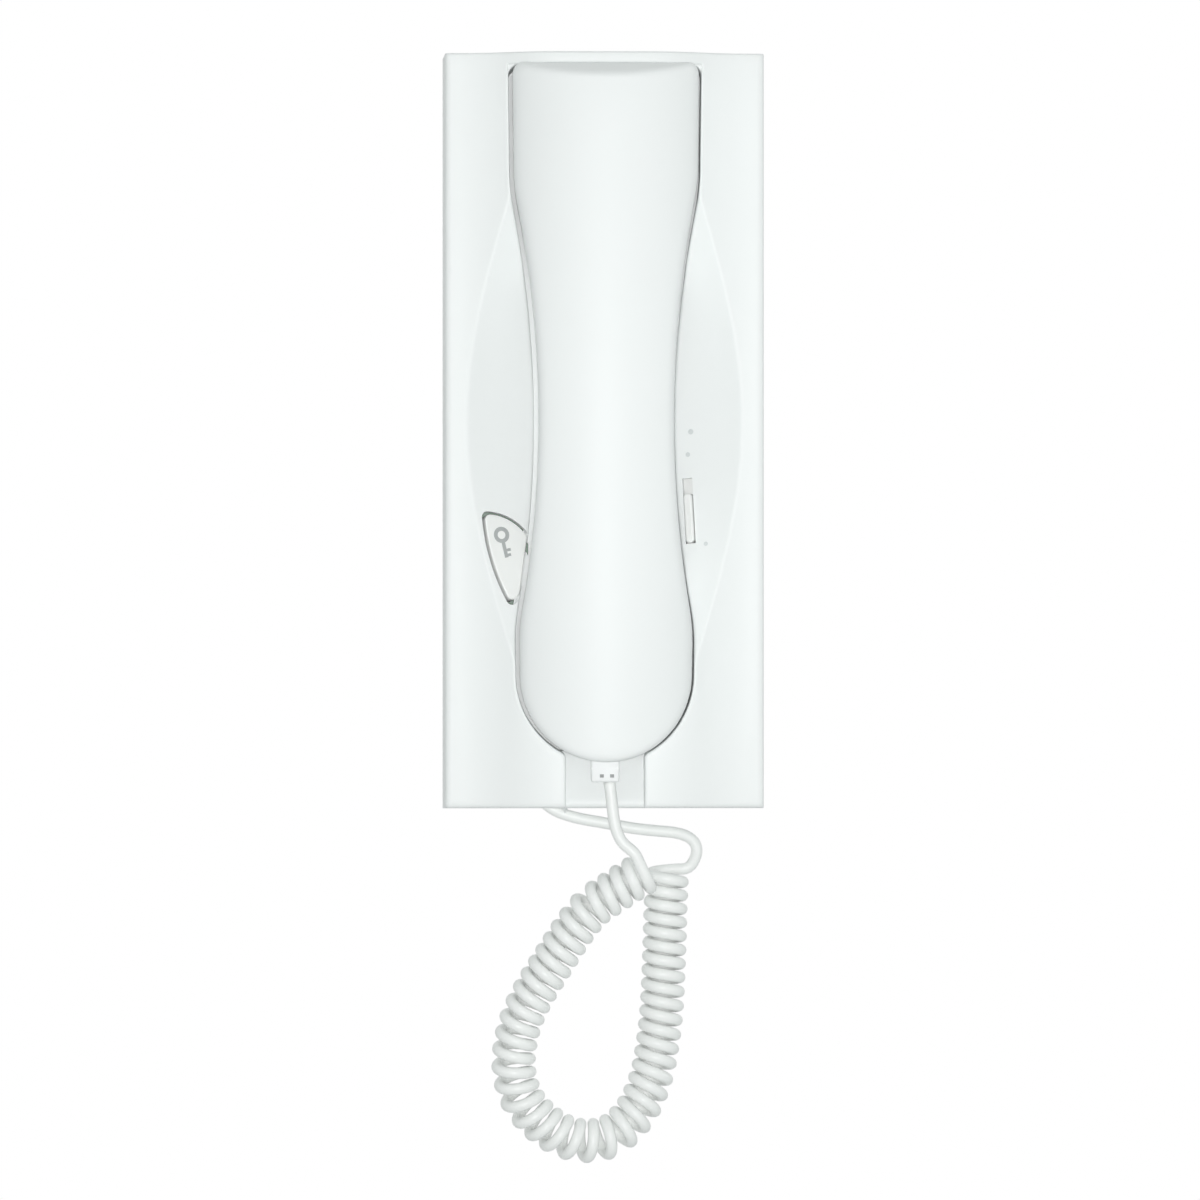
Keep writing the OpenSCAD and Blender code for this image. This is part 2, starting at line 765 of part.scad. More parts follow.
module door_button() {
    color("white")
        union() {
            difference() {
                at_button()
                    out(-cover_wall - 1.2, 8)
                        leaf(0);
                barrel(-button_proud);
                pocket(0.2, 5);
            }
            difference() {
                at_button()
                    out(-cover_wall - 1.7, -cover_wall - rest_gap)
                        leaf(1.3);
                pocket(cover_wall + 0.4, 5);
            }
            at_button() {
                rod(stem_r, -stem_len, -cover_wall - 1);
                translate([0, stem_len, 0])
                    sphere(r = stem_r);
            }
        }
}

module button_dome() {
    color("lightgray")
        at([dome_x, dome_z])
            translate([0, -board_top, 0])
                rotate([90, 0, 0])
                    difference() {
                        cylinder(r1 = dome_r, r2 = dome_r - dome_wall, h = dome_top - board_top);
                        translate([0, 0, -1])
                            cylinder(r = stem_r - 0.2, h = dome_top - board_top);
                    }
}

module volume_slider() {
    color("white")
        union() {
            difference() {
                at_slider()
                    block(-knob_w / 2, knob_w / 2, -slider_flange - 0.5, 6, -knob_len / 2, knob_len / 2);
                barrel(-1.2);
            }
            at_slider() {
                block(-knob_w / 2, knob_w / 2 + 2.4, -slider_flange - 1.2, -slider_flange, -knob_len / 2,
                    knob_len / 2 + 1.2);
                block(-0.9, 0.9, -prong_len, -slider_flange - 0.6, -1.5, 1.5);
            }
        }
}

module slide_switch() {
    color("dimgray")
        difference() {
            block(switch_x - 4, switch_x + 4, board_top, board_top + switch_h, slider_z - 6,
                slider_z + knob_travel + 6);
            block(switch_x - 2.2, switch_x + 2.2, board_top + 1, board_top + switch_h + 1, slider_z - 2,
                slider_z + knob_travel + 2);
        }
}

module cord_clamp() {
    color("gray")
        block(tail_end[0] - clamp_half, tail_end[0] + clamp_half, plate_t, tail_end[1] + clamp_half,
            foot_z + tail_end[2], foot_z + tail_end[2] + clamp_len);
}

module front_body(t) {
    lean_d = parting_d + 3;
    intersection() {
        out(parting_d - (t > 0 ? 1 : 0), 90)
            handset_outline(t, top_z - t);
        translate([0, front_len_r - crown_d, waist_z])
            rotate([0, 90, 0])
                rotate([0, 0, 262])
                    rotate_extrude(angle = 16, $fn = 256)
                        translate([front_len_r - front_r, 0])
                            circle(r = front_r - t, $fn = 128);
        across(-60, 60)
            polygon([[0, -200], [100, -200], [100, top_z - t - (100 - lean_d) * tan(top_lean)],
                [lean_d, top_z - t], [0, top_z - t]]);
    }
}

module back_body(t) {
    intersection() {
        out(back_d + t, parting_d + (t > 0 ? 1 : 0))
            handset_outline(t, top_z - t);
        across(-60, 60)
            difference() {
                translate([0, -200])
                    square([100, 400]);
                translate([grip_d - arch_r, waist_z])
                    circle(r = arch_r + t, $fn = 256);
            }
    }
}

module handset_front() {
    color("white")
        difference() {
            union() {
                difference() {
                    front_body(0);
                    front_body(shell_wall);
                }
                intersection() {
                    union() {
                        for (p = shell_spots)
                            at(p)
                                rod(boss_r, parting_d, crown_d);
                    }
                    front_body(shell_wall / 2);
                }
            }
            for (p = shell_spots)
                at(p)
                    rod(shell_screw_r + thread_play, parting_d - 1, parting_d + 8);
        }
}

module handset_back() {
    color("white")
        difference() {
            union() {
                difference() {
                    back_body(0);
                    back_body(shell_wall);
                }
                at([0, ear_z])
                    rod(cup_r + 1.8, back_d, ear_seat);
                for (p = shell_spots)
                    at(p)
                        rod(boss_r + 1, back_d, parting_d);
            }
            at([0, ear_z])
                rod(cup_r, back_d - 1, back_d + cup_t);
            at([0, ear_z])
                for (i = [0 : 6])
                    rotate([0, i * 60, 0])
                        translate([i == 0 ? 0 : 10, 0, 0])
                            rod(1.1, back_d, ear_seat + 1);
            for (p = shell_spots)
                at(p) {
                    rod(boss_r - 0.5, back_d - 1, shell_head_d);
                    rod(shell_screw_r + shank_play, back_d, parting_d + 1);
                }
            for (i = [-1 : 1])
                at([i * 3.2, mic_z])
                    rod(0.7, back_d - 1, back_d + shell_wall + 1);
            block(-plug_w / 2 - jack_play, plug_w / 2 + jack_play, plug_d - plug_t / 2 - jack_play,
                plug_d + plug_t / 2 + jack_play, low_z - 1, low_z + 5);
        }
}

module handset_screws() {
    color("silver")
        for (p = shell_spots)
            at(p)
                difference() {
                    union() {
                        rod(boss_r - 0.9, shell_head_d - 1.6, shell_head_d);
                        rod(shell_screw_r, shell_head_d, parting_d + 7.4);
                    }
                    cross_slot(boss_r * 0.9, 0.8, shell_head_d - 3, shell_head_d - 0.7);
                }
}

module earpiece_gasket() {
    color("dimgray")
        at([0, ear_z])
            difference() {
                rod(earpiece_r, ear_seat, ear_seat + gasket_t);
                rod(earpiece_r - 2.5, ear_seat - 1, ear_seat + gasket_t + 1);
            }
}

module earpiece() {
    color("darkgray")
        at([0, ear_z])
            union() {
                rod(earpiece_r, ear_seat + gasket_t, ear_seat + gasket_t + earpiece_t);
                rod(magnet_r, ear_seat + earpiece_t, wire_top);
            }
}

module microphone_boot() {
    color("dimgray")
        at([0, mic_z])
            difference() {
                rod(mic_r + thread_play + boot_wall, mic_seat, mic_top + 0.8);
                rod(mic_r + thread_play, mic_seat + boot_floor, mic_top + 2);
                rod(mic_r - 1, mic_seat - 1, mic_seat + 2);
            }
}

module microphone() {
    color("silver")
        at([0, mic_z])
            rod(mic_r, mic_top - mic_t, mic_top);
}

module handset_jack() {
    color("black")
        difference() {
            block(-jack_half, jack_half, mic_seat, jack_back, jack_low, jack_high);
            block(-plug_w / 2 - jack_play, plug_w / 2 + jack_play, plug_d - plug_t / 2 - jack_play,
                plug_d + plug_t / 2 + jack_play, jack_low - 1, plug_high + 0.3);
        }
}

module jack_contacts() {
    color("gold")
        for (i = [-1.5, -0.5, 0.5, 1.5])
            block(i * pin_pitch - 0.25, i * pin_pitch + 0.25, jack_back, jack_back + 1.6, jack_low + 3,
                jack_high - 1);
}

module receiver_wires() {
    pts = [[3, plug_d, jack_high], [3, plug_d, jack_high + 3], [5, plug_d + 5, jack_high + 11],
        [6, plug_d + 13, waist_z - 52], [5, plug_d + 16, waist_z - 24], [5, plug_d + 16, waist_z + 20],
        [5, plug_d + 15, waist_z + 46], [4, wire_top + 5, ear_z - 12], [2, wire_top + 3, ear_z - 6],
        [2, wire_top, ear_z - 5]];
    color("firebrick")
        tube(sample([for (p = pts) spread(p)], 4), 0.9, 8, [1, 0, 0], [0, 0, 1], [0, 1, 0]);
}

module microphone_wires() {
    pts = [[-3, plug_d, jack_high], [-3, plug_d, jack_high + 3], [-2, mic_top + 5.8, mic_z - 7],
        [-1, mic_top + 4.8, mic_z - 1.5], [-1, mic_top + 2.8, mic_z], [-1, mic_top, mic_z]];
    color("royalblue")
        tube(sample([for (p = pts) spread(p)], 4), 0.9, 8, [1, 0, 0], [0, 0, 1], [0, 1, 0]);
}

module handset_plug() {
    color("whitesmoke")
        block(-plug_w / 2, plug_w / 2, plug_d - plug_t / 2, plug_d + plug_t / 2, plug_low, plug_high);
}

module cord_lead_handset() {
    color("white")
        tube(sample(lead_line, 3), cord_d / 2, 8, [0, 1, 0], [0, 0, -1], curl_head);
}

module cord_curls() {
    gaps = [for (i = [0 : curl_rings], j = [i + 5 : min(i + 12, curl_rings)])
        norm(curl_line[i] - curl_line[j])];
    echo(curl_gap = min(gaps) - cord_d);
    pts = concat([curl_start], curl_line, [curl_end]);
    m = len(pts);
    runs = [for (i = [0 : m - 1])
        i < 2 ? curl_head : i > m - 3 ? curl_foot : unit(pts[i + 1] - pts[i - 1])];
    outs = [for (i = [0 : m - 1]) let (k = min(max(i - 1, 0), curl_rings)) curl_out(curl_u(k), k * 45)];
    flat = [for (i = [0 : m - 1]) unit(outs[i] - runs[i] * (runs[i] * outs[i]))];
    rings = [for (i = [0 : m - 1], j = [0 : 5])
        pts[i] + cord_d / 2 * (flat[i] * cos(j * 60) + cross(runs[i], flat[i]) * sin(j * 60))];
    walls = [for (i = [0 : m - 2], j = [0 : 5], h = [0, 1])
        let (a = i * 6 + j, b = i * 6 + (j + 1) % 6)
            h == 0 ? [a, a + 6, b + 6] : [a, b + 6, b]];
    caps = [for (j = [1 : 4], h = [0, 1])
        let (e = (m - 1) * 6)
            h == 0 ? [0, j, j + 1] : [e, e + j + 1, e + j]];
    color("white")
        polyhedron(points = rings, faces = concat(walls, caps), convexity = 10);
}

module cord_lead_base() {
    color("white")
        tube(sample(tail_line, 3), cord_d / 2, 8, [0, 1, 0], curl_foot, [0, 0, 1]);
}

wall_plate();
front_cover();
cover_screws();
main_board();
board_screws();
terminal_block();
terminal_screws();
ringer();
hook_lever();
hook_pin();
hook_spring();
hook_contacts();
door_button();
button_dome();
volume_slider();
slide_switch();
cord_clamp();
handset_front();
handset_back();
handset_screws();
earpiece();
earpiece_gasket();
microphone();
microphone_boot();
handset_jack();
jack_contacts();
receiver_wires();
microphone_wires();
handset_plug();
cord_lead_handset();
cord_curls();
cord_lead_base();
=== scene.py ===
import json
import math

import bmesh
import bpy
import numpy as np
from mathutils import Matrix, Vector


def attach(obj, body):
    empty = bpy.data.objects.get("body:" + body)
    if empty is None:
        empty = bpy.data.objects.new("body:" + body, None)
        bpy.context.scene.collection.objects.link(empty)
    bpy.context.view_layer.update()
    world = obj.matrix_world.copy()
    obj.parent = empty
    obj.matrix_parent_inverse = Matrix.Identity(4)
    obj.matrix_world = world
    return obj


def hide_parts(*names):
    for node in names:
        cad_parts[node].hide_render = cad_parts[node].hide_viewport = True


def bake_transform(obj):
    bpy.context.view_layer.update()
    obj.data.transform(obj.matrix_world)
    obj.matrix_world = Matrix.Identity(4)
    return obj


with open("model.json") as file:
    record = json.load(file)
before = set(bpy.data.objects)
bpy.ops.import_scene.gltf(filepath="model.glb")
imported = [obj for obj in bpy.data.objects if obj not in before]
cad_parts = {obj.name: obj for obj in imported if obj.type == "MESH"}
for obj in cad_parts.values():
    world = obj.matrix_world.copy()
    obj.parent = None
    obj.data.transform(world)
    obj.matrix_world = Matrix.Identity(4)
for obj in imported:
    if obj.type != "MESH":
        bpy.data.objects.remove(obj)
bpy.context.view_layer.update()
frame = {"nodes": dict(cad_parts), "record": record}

mm = 0.001
scene = bpy.context.scene
nodes = frame["nodes"]


# lengths below are in mm: x to the right, depth out from the wall, z up
def point(x, depth, z):
    return x * mm, -depth * mm, z * mm


def unit(v):
    return v / np.linalg.norm(v, axis=-1, keepdims=True)


def newObject(name, shape):
    mesh = bpy.data.meshes.new(name)
    shape.to_mesh(mesh)
    shape.free()
    thing = bpy.data.objects.new(name, mesh)
    scene.collection.objects.link(thing)
    return thing


# camera: nearly square to the front, a touch from the left, through a long lens
cameraFacts = {"reach": 1.2, "turn": -1.0, "aim": (-1.28, 24, -46.6), "span": 330.0, "sensor": 36}


def addCamera(facts):
    data = bpy.data.cameras.new("camera")
    data.sensor_width = facts["sensor"]
    data.lens = facts["sensor"] * facts["reach"] / (facts["span"] * mm)
    camera = bpy.data.objects.new("camera", data)
    aim = Vector(point(*facts["aim"]))
    turn = math.radians(facts["turn"])
    camera.location = aim + facts["reach"] * Vector((math.sin(turn), -math.cos(turn), 0))
    camera.rotation_euler = (aim - camera.location).to_track_quat("-Z", "Y").to_euler()
    scene.collection.objects.link(camera)
    scene.camera = camera


addCamera(cameraFacts)
print("stage: camera")

# curly cord: one tube from the plug to the clamp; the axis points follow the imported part
cordFacts = {
    "diameter": 3.2,
    "curlRadius": 4.7,
    "curls": 44.5,
    "spacedAt": 0.8,
    "foot": -105,
    "axis": [
        (11, 23, -16.5), (3, 22.6, -21.6), (-5, 22, -27.8), (-14, 21, -41), (-22, 20, -55),
        (-25, 19, -67.5), (-23.6, 18, -77.4), (-19, 17, -84.4), (-12, 16, -89.6), (-4.5, 15, -91.4),
        (2.8, 14, -89.6), (9, 13, -83.4), (13, 12, -74.5), (15, 11.4, -64.6), (16.2, 11, -53.4),
        (16.8, 10.7, -39.6), (17.2, 10.5, -27), (17.6, 10.5, -17),
    ],
    "plugEnd": (1.2, 27.6, -96.4),
    "lead": [(1.7, 27.6, -99.8), (2.2, 27.6, -104.6), (3, 27.7, -109.2), (4.8, 27.7, -113.2)],
    "tail": [
        (26.2, 6.2, -11.8), (24.8, 6.6, -8.4), (20.6, 7, -6.6), (15, 7.3, -6), (8, 7.6, -5.2),
        (0, 7.8, -3.7), (-8, 8, -2.2), (-14, 8, 0), (-17.8, 8, 3.4), (-19, 8, 6.6), (-19, 8, 9.5),
    ],
    "step": 0.9,
    "sides": 16,
    "axisPoints": 10,
    "leadPoints": 30,
    "curlPoints": 160,
    "fineStep": 0.2,
    "easeOver": 9,
    "heldByHandset": 0.03,
    "heldByBase": 0.06,
}


def spread(points, lift=0):
    return np.array([(x, -depth, z + lift) for x, depth, z in points], float)


def spline(knots, u):
    padded = np.vstack([2 * knots[0] - knots[1], knots, 2 * knots[-1] - knots[-2]])
    i = np.minimum(np.floor(u).astype(int), len(knots) - 2)
    t = (u - i)[:, None]
    a, b, c, d = (padded[i + k] for k in range(4))
    return 0.5 * (2 * b + (c - a) * t + (2 * a - 5 * b + 4 * c - d) * t**2 + (3 * b - a - 3 * c + d) * t**3)


def along(line):
    return np.concatenate([[0], np.cumsum(np.linalg.norm(np.diff(line, axis=0), axis=1))])


def resample(line, step):
    run = along(line)
    marks = np.linspace(0, run[-1], int(round(run[-1] / step)) + 1)
    return np.stack([np.interp(marks, run, line[:, k]) for k in range(3)], axis=1)


def cordLine(facts):
    axis = spread(facts["axis"], facts["foot"])
    last = len(axis) - 1
    away = np.array([0.0, -1.0, 0.0])
    near, bit = 0.02, 0.025

    def slope(u):
        return unit(spline(axis, np.minimum(u + near, last)) - spline(axis, np.maximum(u - near, 0)))

    # curls are spaced evenly along a line between the axis and the inner side of the loop
    u = np.linspace(0, last, last * facts["axisPoints"] + 1)
    inner = spline(axis, u) + facts["spacedAt"] * facts["curlRadius"] * unit(np.cross(away, slope(u)))
    run = along(inner)

    def curl(turns):
        turns = np.asarray(turns, float)
        v = np.interp(turns / facts["curls"] * run[-1], run, u)
        t = slope(v)
        front = unit(away - t * (t @ away)[:, None])
        angle = 2 * math.pi * turns[:, None]
        outward = front * np.cos(angle) - np.cross(t, front) * np.sin(angle)
        return spline(axis, v) + facts["curlRadius"] * outward

    turns = facts["curls"]
    curls = curl(np.linspace(0, turns, int(turns * facts["curlPoints"]) + 1))
    head = unit(np.diff(curl([0, bit]), axis=0))[0] * facts["diameter"]
    foot = unit(np.diff(curl([turns - bit, turns]), axis=0))[0] * facts["diameter"]
    lead = np.vstack([spread([facts["plugEnd"]] + facts["lead"]), curls[0] - 2 * head, curls[0] - head])
    tail = np.vstack([curls[-1] + foot, curls[-1] + 2 * foot, spread(facts["tail"], facts["foot"])])
    parts = [spline(k, np.linspace(0, len(k) - 1, len(k) * facts["leadPoints"])) for k in (lead, tail)]
    line = resample(np.vstack([parts[0], curls, parts[1]]), facts["fineStep"])
    # a short running mean takes the corners off the joins
    width = facts["easeOver"]
    padded = np.vstack([np.repeat(line[:1], width, 0), line, np.repeat(line[-1:], width, 0)])
    kernel = np.ones(2 * width + 1) / (2 * width + 1)
    eased = np.stack([np.convolve(padded[:, k], kernel, "valid") for k in range(3)], axis=1)
    eased[0], eased[-1] = line[0], line[-1]
    return resample(eased, facts["step"])


def tubeShape(line, radius, sides):
    tangent = unit(np.gradient(line, axis=0))
    askew = [0.3, 0.8, 0.5]
    side = unit(np.cross(tangent[0], askew))
    shape = bmesh.new()
    rings = []
    for centre, t in zip(line, tangent):
        side = unit(side - t * (side @ t))
        other = np.cross(t, side)
        ring = []
        for k in range(sides):
            a = 2 * math.pi * k / sides
            ring.append(shape.verts.new((centre + radius * (side * math.cos(a) + other * math.sin(a))) * mm))
        rings.append(ring)
    for near, far in zip(rings, rings[1:]):
        for k in range(sides):
            shape.faces.new((near[k], near[(k + 1) % sides], far[(k + 1) % sides], far[k])).smooth = True
    shape.faces.new(rings[0][::-1])
    shape.faces.new(rings[-1])
    return shape


def addCord(facts):
    line = cordLine(facts)
    cord = newObject("curly_cord", tubeShape(line, facts["diameter"] / 2, facts["sides"]))
    length = along(line)[-1]
    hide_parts("cord_lead_handset", "cord_curls", "cord_lead_base")
    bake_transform(cord)
    print("cord length", round(length * mm, 3), "m")
    return cord, line, length


cord, cordRoute, cordLength = addCord(cordFacts)
print("stage: cord")


# materials: a colour that drifts a little, a roughness that varies and a fine moulded grain
noiseDetail = {"drift": 3, "patch": 4, "grain": 2}
colourStops = (0.25, 0.75)


def makeMaterial(name, facts):
    material = bpy.data.materials.new(name)
    material.use_nodes = True
    tree = material.node_tree
    shader = tree.nodes["Principled BSDF"]
    place = tree.nodes.new("ShaderNodeTexCoord")

    def noise(kind, stretch=None):
        node = tree.nodes.new("ShaderNodeTexNoise")
        node.inputs["Scale"].default_value = facts[kind]
        node.inputs["Detail"].default_value = noiseDetail[kind]
        source = place.outputs["Object"]
        if stretch:
            mapping = tree.nodes.new("ShaderNodeMapping")
            mapping.inputs["Scale"].default_value = stretch
            tree.links.new(source, mapping.inputs["Vector"])
            source = mapping.outputs["Vector"]
        tree.links.new(source, node.inputs["Vector"])
        return node.outputs["Fac"]

    ramp = tree.nodes.new("ShaderNodeValToRGB")
    for stop, colour, share in zip(ramp.color_ramp.elements, facts["colours"], colourStops):
        stop.position = share
        stop.color = (*colour, 1)
    tree.links.new(noise("drift"), ramp.inputs["Fac"])
    tree.links.new(ramp.outputs["Color"], shader.inputs["Base Color"])

    spanNode = tree.nodes.new("ShaderNodeMapRange")
    spanNode.inputs["To Min"].default_value = facts["rough"][0]
    spanNode.inputs["To Max"].default_value = facts["rough"][1]
    tree.links.new(noise("patch", facts.get("stretch")), spanNode.inputs["Value"])
    tree.links.new(spanNode.outputs["Result"], shader.inputs["Roughness"])

    bump = tree.nodes.new("ShaderNodeBump")
    bump.inputs["Strength"].default_value = facts["relief"]
    bump.inputs["Distance"].default_value = facts["height"] * mm
    tree.links.new(noise("grain", facts.get("stretch")), bump.inputs["Height"])
    tree.links.new(bump.outputs["Normal"], shader.inputs["Normal"])

    shader.inputs["Metallic"].default_value = facts.get("metal", 0)
    shader.inputs["Specular IOR Level"].default_value = facts.get("specular", 0.5)
    return material


finishes = {
    "shellWhite": {
        "colours": ((0.935, 0.953, 0.948), (0.945, 0.961, 0.957)), "drift": 28, "rough": (0.42, 0.48),
        "patch": 160, "grain": 2600, "relief": 0.1, "height": 0.02, "specular": 0.25,
    },
    "buttonWhite": {
        "colours": ((0.94, 0.945, 0.93), (0.955, 0.96, 0.945)), "drift": 60, "rough": (0.32, 0.42),
        "patch": 300, "grain": 3200, "relief": 0.2, "height": 0.03,
    },
    "cordWhite": {
        "colours": ((0.935, 0.945, 0.93), (0.95, 0.96, 0.945)), "drift": 90, "rough": (0.34, 0.46),
        "patch": 400, "grain": 1800, "relief": 0.2, "height": 0.03,
    },
    "plugWhite": {
        "colours": ((0.91, 0.92, 0.92), (0.94, 0.95, 0.95)), "drift": 160, "rough": (0.4, 0.48),
        "patch": 500, "grain": 2400, "relief": 0.08, "height": 0.02, "specular": 0.25,
    },
    "leverWhite": {
        "colours": ((0.72, 0.72, 0.69), (0.77, 0.77, 0.745)), "drift": 120, "rough": (0.4, 0.52),
        "patch": 500, "grain": 3000, "relief": 0.2, "height": 0.03,
    },
    "plateGrey": {
        "colours": ((0.55, 0.565, 0.565), (0.6, 0.615, 0.615)), "drift": 35, "rough": (0.45, 0.6),
        "patch": 260, "grain": 2200, "relief": 0.3, "height": 0.05,
    },
    # this grey is the print of the signs, and also painted shade inside the plug's holes
    "signAndShadeGrey": {
        "colours": ((0.41, 0.425, 0.425), (0.46, 0.475, 0.475)), "drift": 200, "rough": (0.45, 0.6),
        "patch": 700, "grain": 4000, "relief": 0.15, "height": 0.02,
    },
    "markGrey": {
        "colours": ((0.7, 0.73, 0.73), (0.75, 0.78, 0.78)), "drift": 200, "rough": (0.45, 0.6),
        "patch": 700, "grain": 4000, "relief": 0.15, "height": 0.02,
    },
    "boardGreen": {
        "colours": ((0.018, 0.11, 0.045), (0.025, 0.15, 0.06)), "drift": 180, "rough": (0.3, 0.45),
        "patch": 600, "grain": 1500, "relief": 0.3, "height": 0.04, "stretch": (1, 1, 3),
    },
    "terminalGreen": {
        "colours": ((0.04, 0.2, 0.07), (0.055, 0.25, 0.09)), "drift": 150, "rough": (0.42, 0.55),
        "patch": 500, "grain": 2600, "relief": 0.25, "height": 0.04,
    },
    "blackPlastic": {
        "colours": ((0.016, 0.016, 0.018), (0.028, 0.028, 0.03)), "drift": 160, "rough": (0.4, 0.55),
        "patch": 500, "grain": 2400, "relief": 0.3, "height": 0.05,
    },
    "rubberGrey": {
        "colours": ((0.09, 0.09, 0.095), (0.12, 0.12, 0.125)), "drift": 140, "rough": (0.62, 0.8),
        "patch": 450, "grain": 1800, "relief": 0.35, "height": 0.05,
    },
    "steel": {
        "colours": ((0.5, 0.5, 0.52), (0.62, 0.62, 0.64)), "drift": 260, "rough": (0.22, 0.42),
        "patch": 900, "grain": 3000, "relief": 0.2, "height": 0.02, "metal": 1, "stretch": (1, 1, 0.15),
    },
    "brass": {
        "colours": ((0.66, 0.46, 0.14), (0.76, 0.56, 0.2)), "drift": 260, "rough": (0.22, 0.4),
        "patch": 900, "grain": 3000, "relief": 0.2, "height": 0.02, "metal": 1, "stretch": (1, 1, 0.2),
    },
    "wireRed": {
        "colours": ((0.36, 0.012, 0.01), (0.44, 0.02, 0.016)), "drift": 220, "rough": (0.38, 0.5),
        "patch": 700, "grain": 2600, "relief": 0.2, "height": 0.03,
    },
    "wireBlue": {
        "colours": ((0.01, 0.03, 0.24), (0.016, 0.045, 0.32)), "drift": 220, "rough": (0.38, 0.5),
        "patch": 700, "grain": 2600, "relief": 0.2, "height": 0.03,
    },
}
looks = {name: makeMaterial(name, facts) for name, facts in finishes.items()}
slotLooks = {
    "shell_white": "shellWhite", "plate_grey": "plateGrey", "steel": "steel", "board_green": "boardGreen",
    "terminal_green": "terminalGreen", "black_plastic": "blackPlastic", "lever_white": "leverWhite",
    "brass": "brass", "button_white": "buttonWhite", "rubber_grey": "rubberGrey", "wire_red": "wireRed",
    "wire_blue": "wireBlue", "plug_white": "plugWhite", "cord_white": "cordWhite",
}


def paint(thing, look):
    thing.data.materials.clear()
    thing.data.materials.append(looks[look])


paint(cord, "cordWhite")
print("stage: materials")


# shared outlines of the base front, the finger hollows and the handset
base = {
    "halfWidth": 45, "halfHeight": 105, "edge": 24, "crest": 32, "crestX": 12, "footX": 40.8, "sweep": 27.92,
    "lean": 0.05, "back": 0.3, "floor": 16, "pocketTop": 100.2, "pocketGap": 1.2, "wall": 1.5,
    "edgeRound": 1.8, "lipRound": 0.9, "rimRound": 1.2, "channel": 10.8, "channelTop": -88.2,
    "channelDepth": 18, "channelSlope": 7 / 21.8, "tipRound": 2.0, "topRound": 3.0,
}
hollow = {"axis": 97.56, "radius": 82.56, "arc": 230.894, "middle": 2.5, "soft": 0.45, "outside": 90}
handset = {
    "ear": 25.3, "top": 99.4, "mouth": 23.2, "mouthZ": -67, "waist": 18.2, "arc": 305.525, "middle": 2.5,
    "soft": 1.0, "parting": 38, "crown": 57, "frontRadius": 34, "frontLong": 1100, "leanFrom": 41,
    "lean": math.tan(math.radians(20)), "leanSpan": 20, "edgeRound": 2.4, "corner": 3.2, "wall": 2.0,
    "backDepth": 18, "grip": 33, "archRadius": 84.3, "archSpan": 70, "archSoft": 1.6, "backRound": 1.6,
    "seam": 0.15,
}


def smoothMin(a, b, k):
    h = np.maximum(k - np.abs(a - b), 0) / k
    return np.minimum(a, b) - h * h * k / 4


def halfWidth(z, grow=0.0):
    h = handset
    line = h["mouth"] + (h["ear"] - h["mouth"]) * (z - h["mouthZ"]) / (h["top"] - h["mouthZ"]) + grow
    arc = h["waist"] + h["arc"] - np.sqrt((h["arc"] - grow) ** 2 - (z - h["middle"]) ** 2)
    return smoothMin(line, arc, h["soft"])


def sideNormal(z, grow):
    near = 0.05
    slope = (halfWidth(z + near, grow) - halfWidth(z - near, grow)) / (2 * near)
    size = math.hypot(1, slope)
    return 1 / size, -slope / size


# heights of the rows: down the ear, along the grip and past the mouth
def rowHeights(top, span, counts):
    ear, mouth = span
    return np.concatenate([np.linspace(top, ear, counts[0]), np.linspace(ear - 1, mouth + 1, counts[1]),
                           np.linspace(mouth, handset["mouthZ"], counts[2])])


def sweepDepth(x):
    x = np.abs(x)
    r = base["sweep"]
    high = base["crest"] - r + np.sqrt(np.maximum(r * r - (x - base["crestX"]) ** 2, 0))
    low = base["edge"] + r - np.sqrt(np.maximum(r * r - (base["footX"] - x) ** 2, 0))
    middle = (base["crestX"] + base["footX"]) / 2
    return np.where(x < base["crestX"], base["crest"],
                    np.where(x < middle, high, np.where(x < base["footX"], low, base["edge"])))


def barrelAt(z):
    return hollow["radius"] - hollow["arc"] + np.sqrt(hollow["arc"] ** 2 - (z - hollow["middle"]) ** 2)


def hollowDepth(x, z):
    inside = barrelAt(z) ** 2 - x * x
    return np.where(inside > 0, hollow["axis"] - np.sqrt(np.maximum(inside, 0)), hollow["outside"])


def frontDepth(x, z):
    return smoothMin(sweepDepth(x), hollowDepth(x, z), hollow["soft"])


def crownDepth(x, z):
    h = handset
    long = h["frontLong"] - h["frontRadius"] + np.sqrt(h["frontRadius"] ** 2 - x * x)
    return h["crown"] - h["frontLong"] + np.sqrt(long**2 - (z - h["middle"]) ** 2)


def gridShape(grids, weld=0.003):
    shape = bmesh.new()
    for rows in grids:
        corners = [[shape.verts.new(point(*p)) for p in row] for row in rows]
        for upper, lower in zip(corners, corners[1:]):
            for k in range(len(upper) - 1):
                shape.faces.new((upper[k], upper[k + 1], lower[k + 1], lower[k]))
    bmesh.ops.remove_doubles(shape, verts=shape.verts, dist=weld * mm)
    bmesh.ops.dissolve_degenerate(shape, edges=shape.edges, dist=weld * mm)
    bmesh.ops.recalc_face_normals(shape, faces=shape.faces)
    return shape


def mirrored(half):
    return [(-x, d, z) for x, d, z in half] + [p for p in reversed(half[:-1])]


def addBlock(shape, low, high, turn=None):
    made = bmesh.ops.create_cube(shape, size=1)["verts"]
    size = [high[k] - low[k] for k in range(3)]
    middle = [(high[k] + low[k]) / 2 for k in range(3)]
    for v in made:
        spot = (v.co.x, -v.co.y, v.co.z)
        v.co = Vector(point(*(middle[k] + size[k] * spot[k] for k in range(3))))
    if turn:
        bmesh.ops.transform(shape, matrix=turn, verts=made)


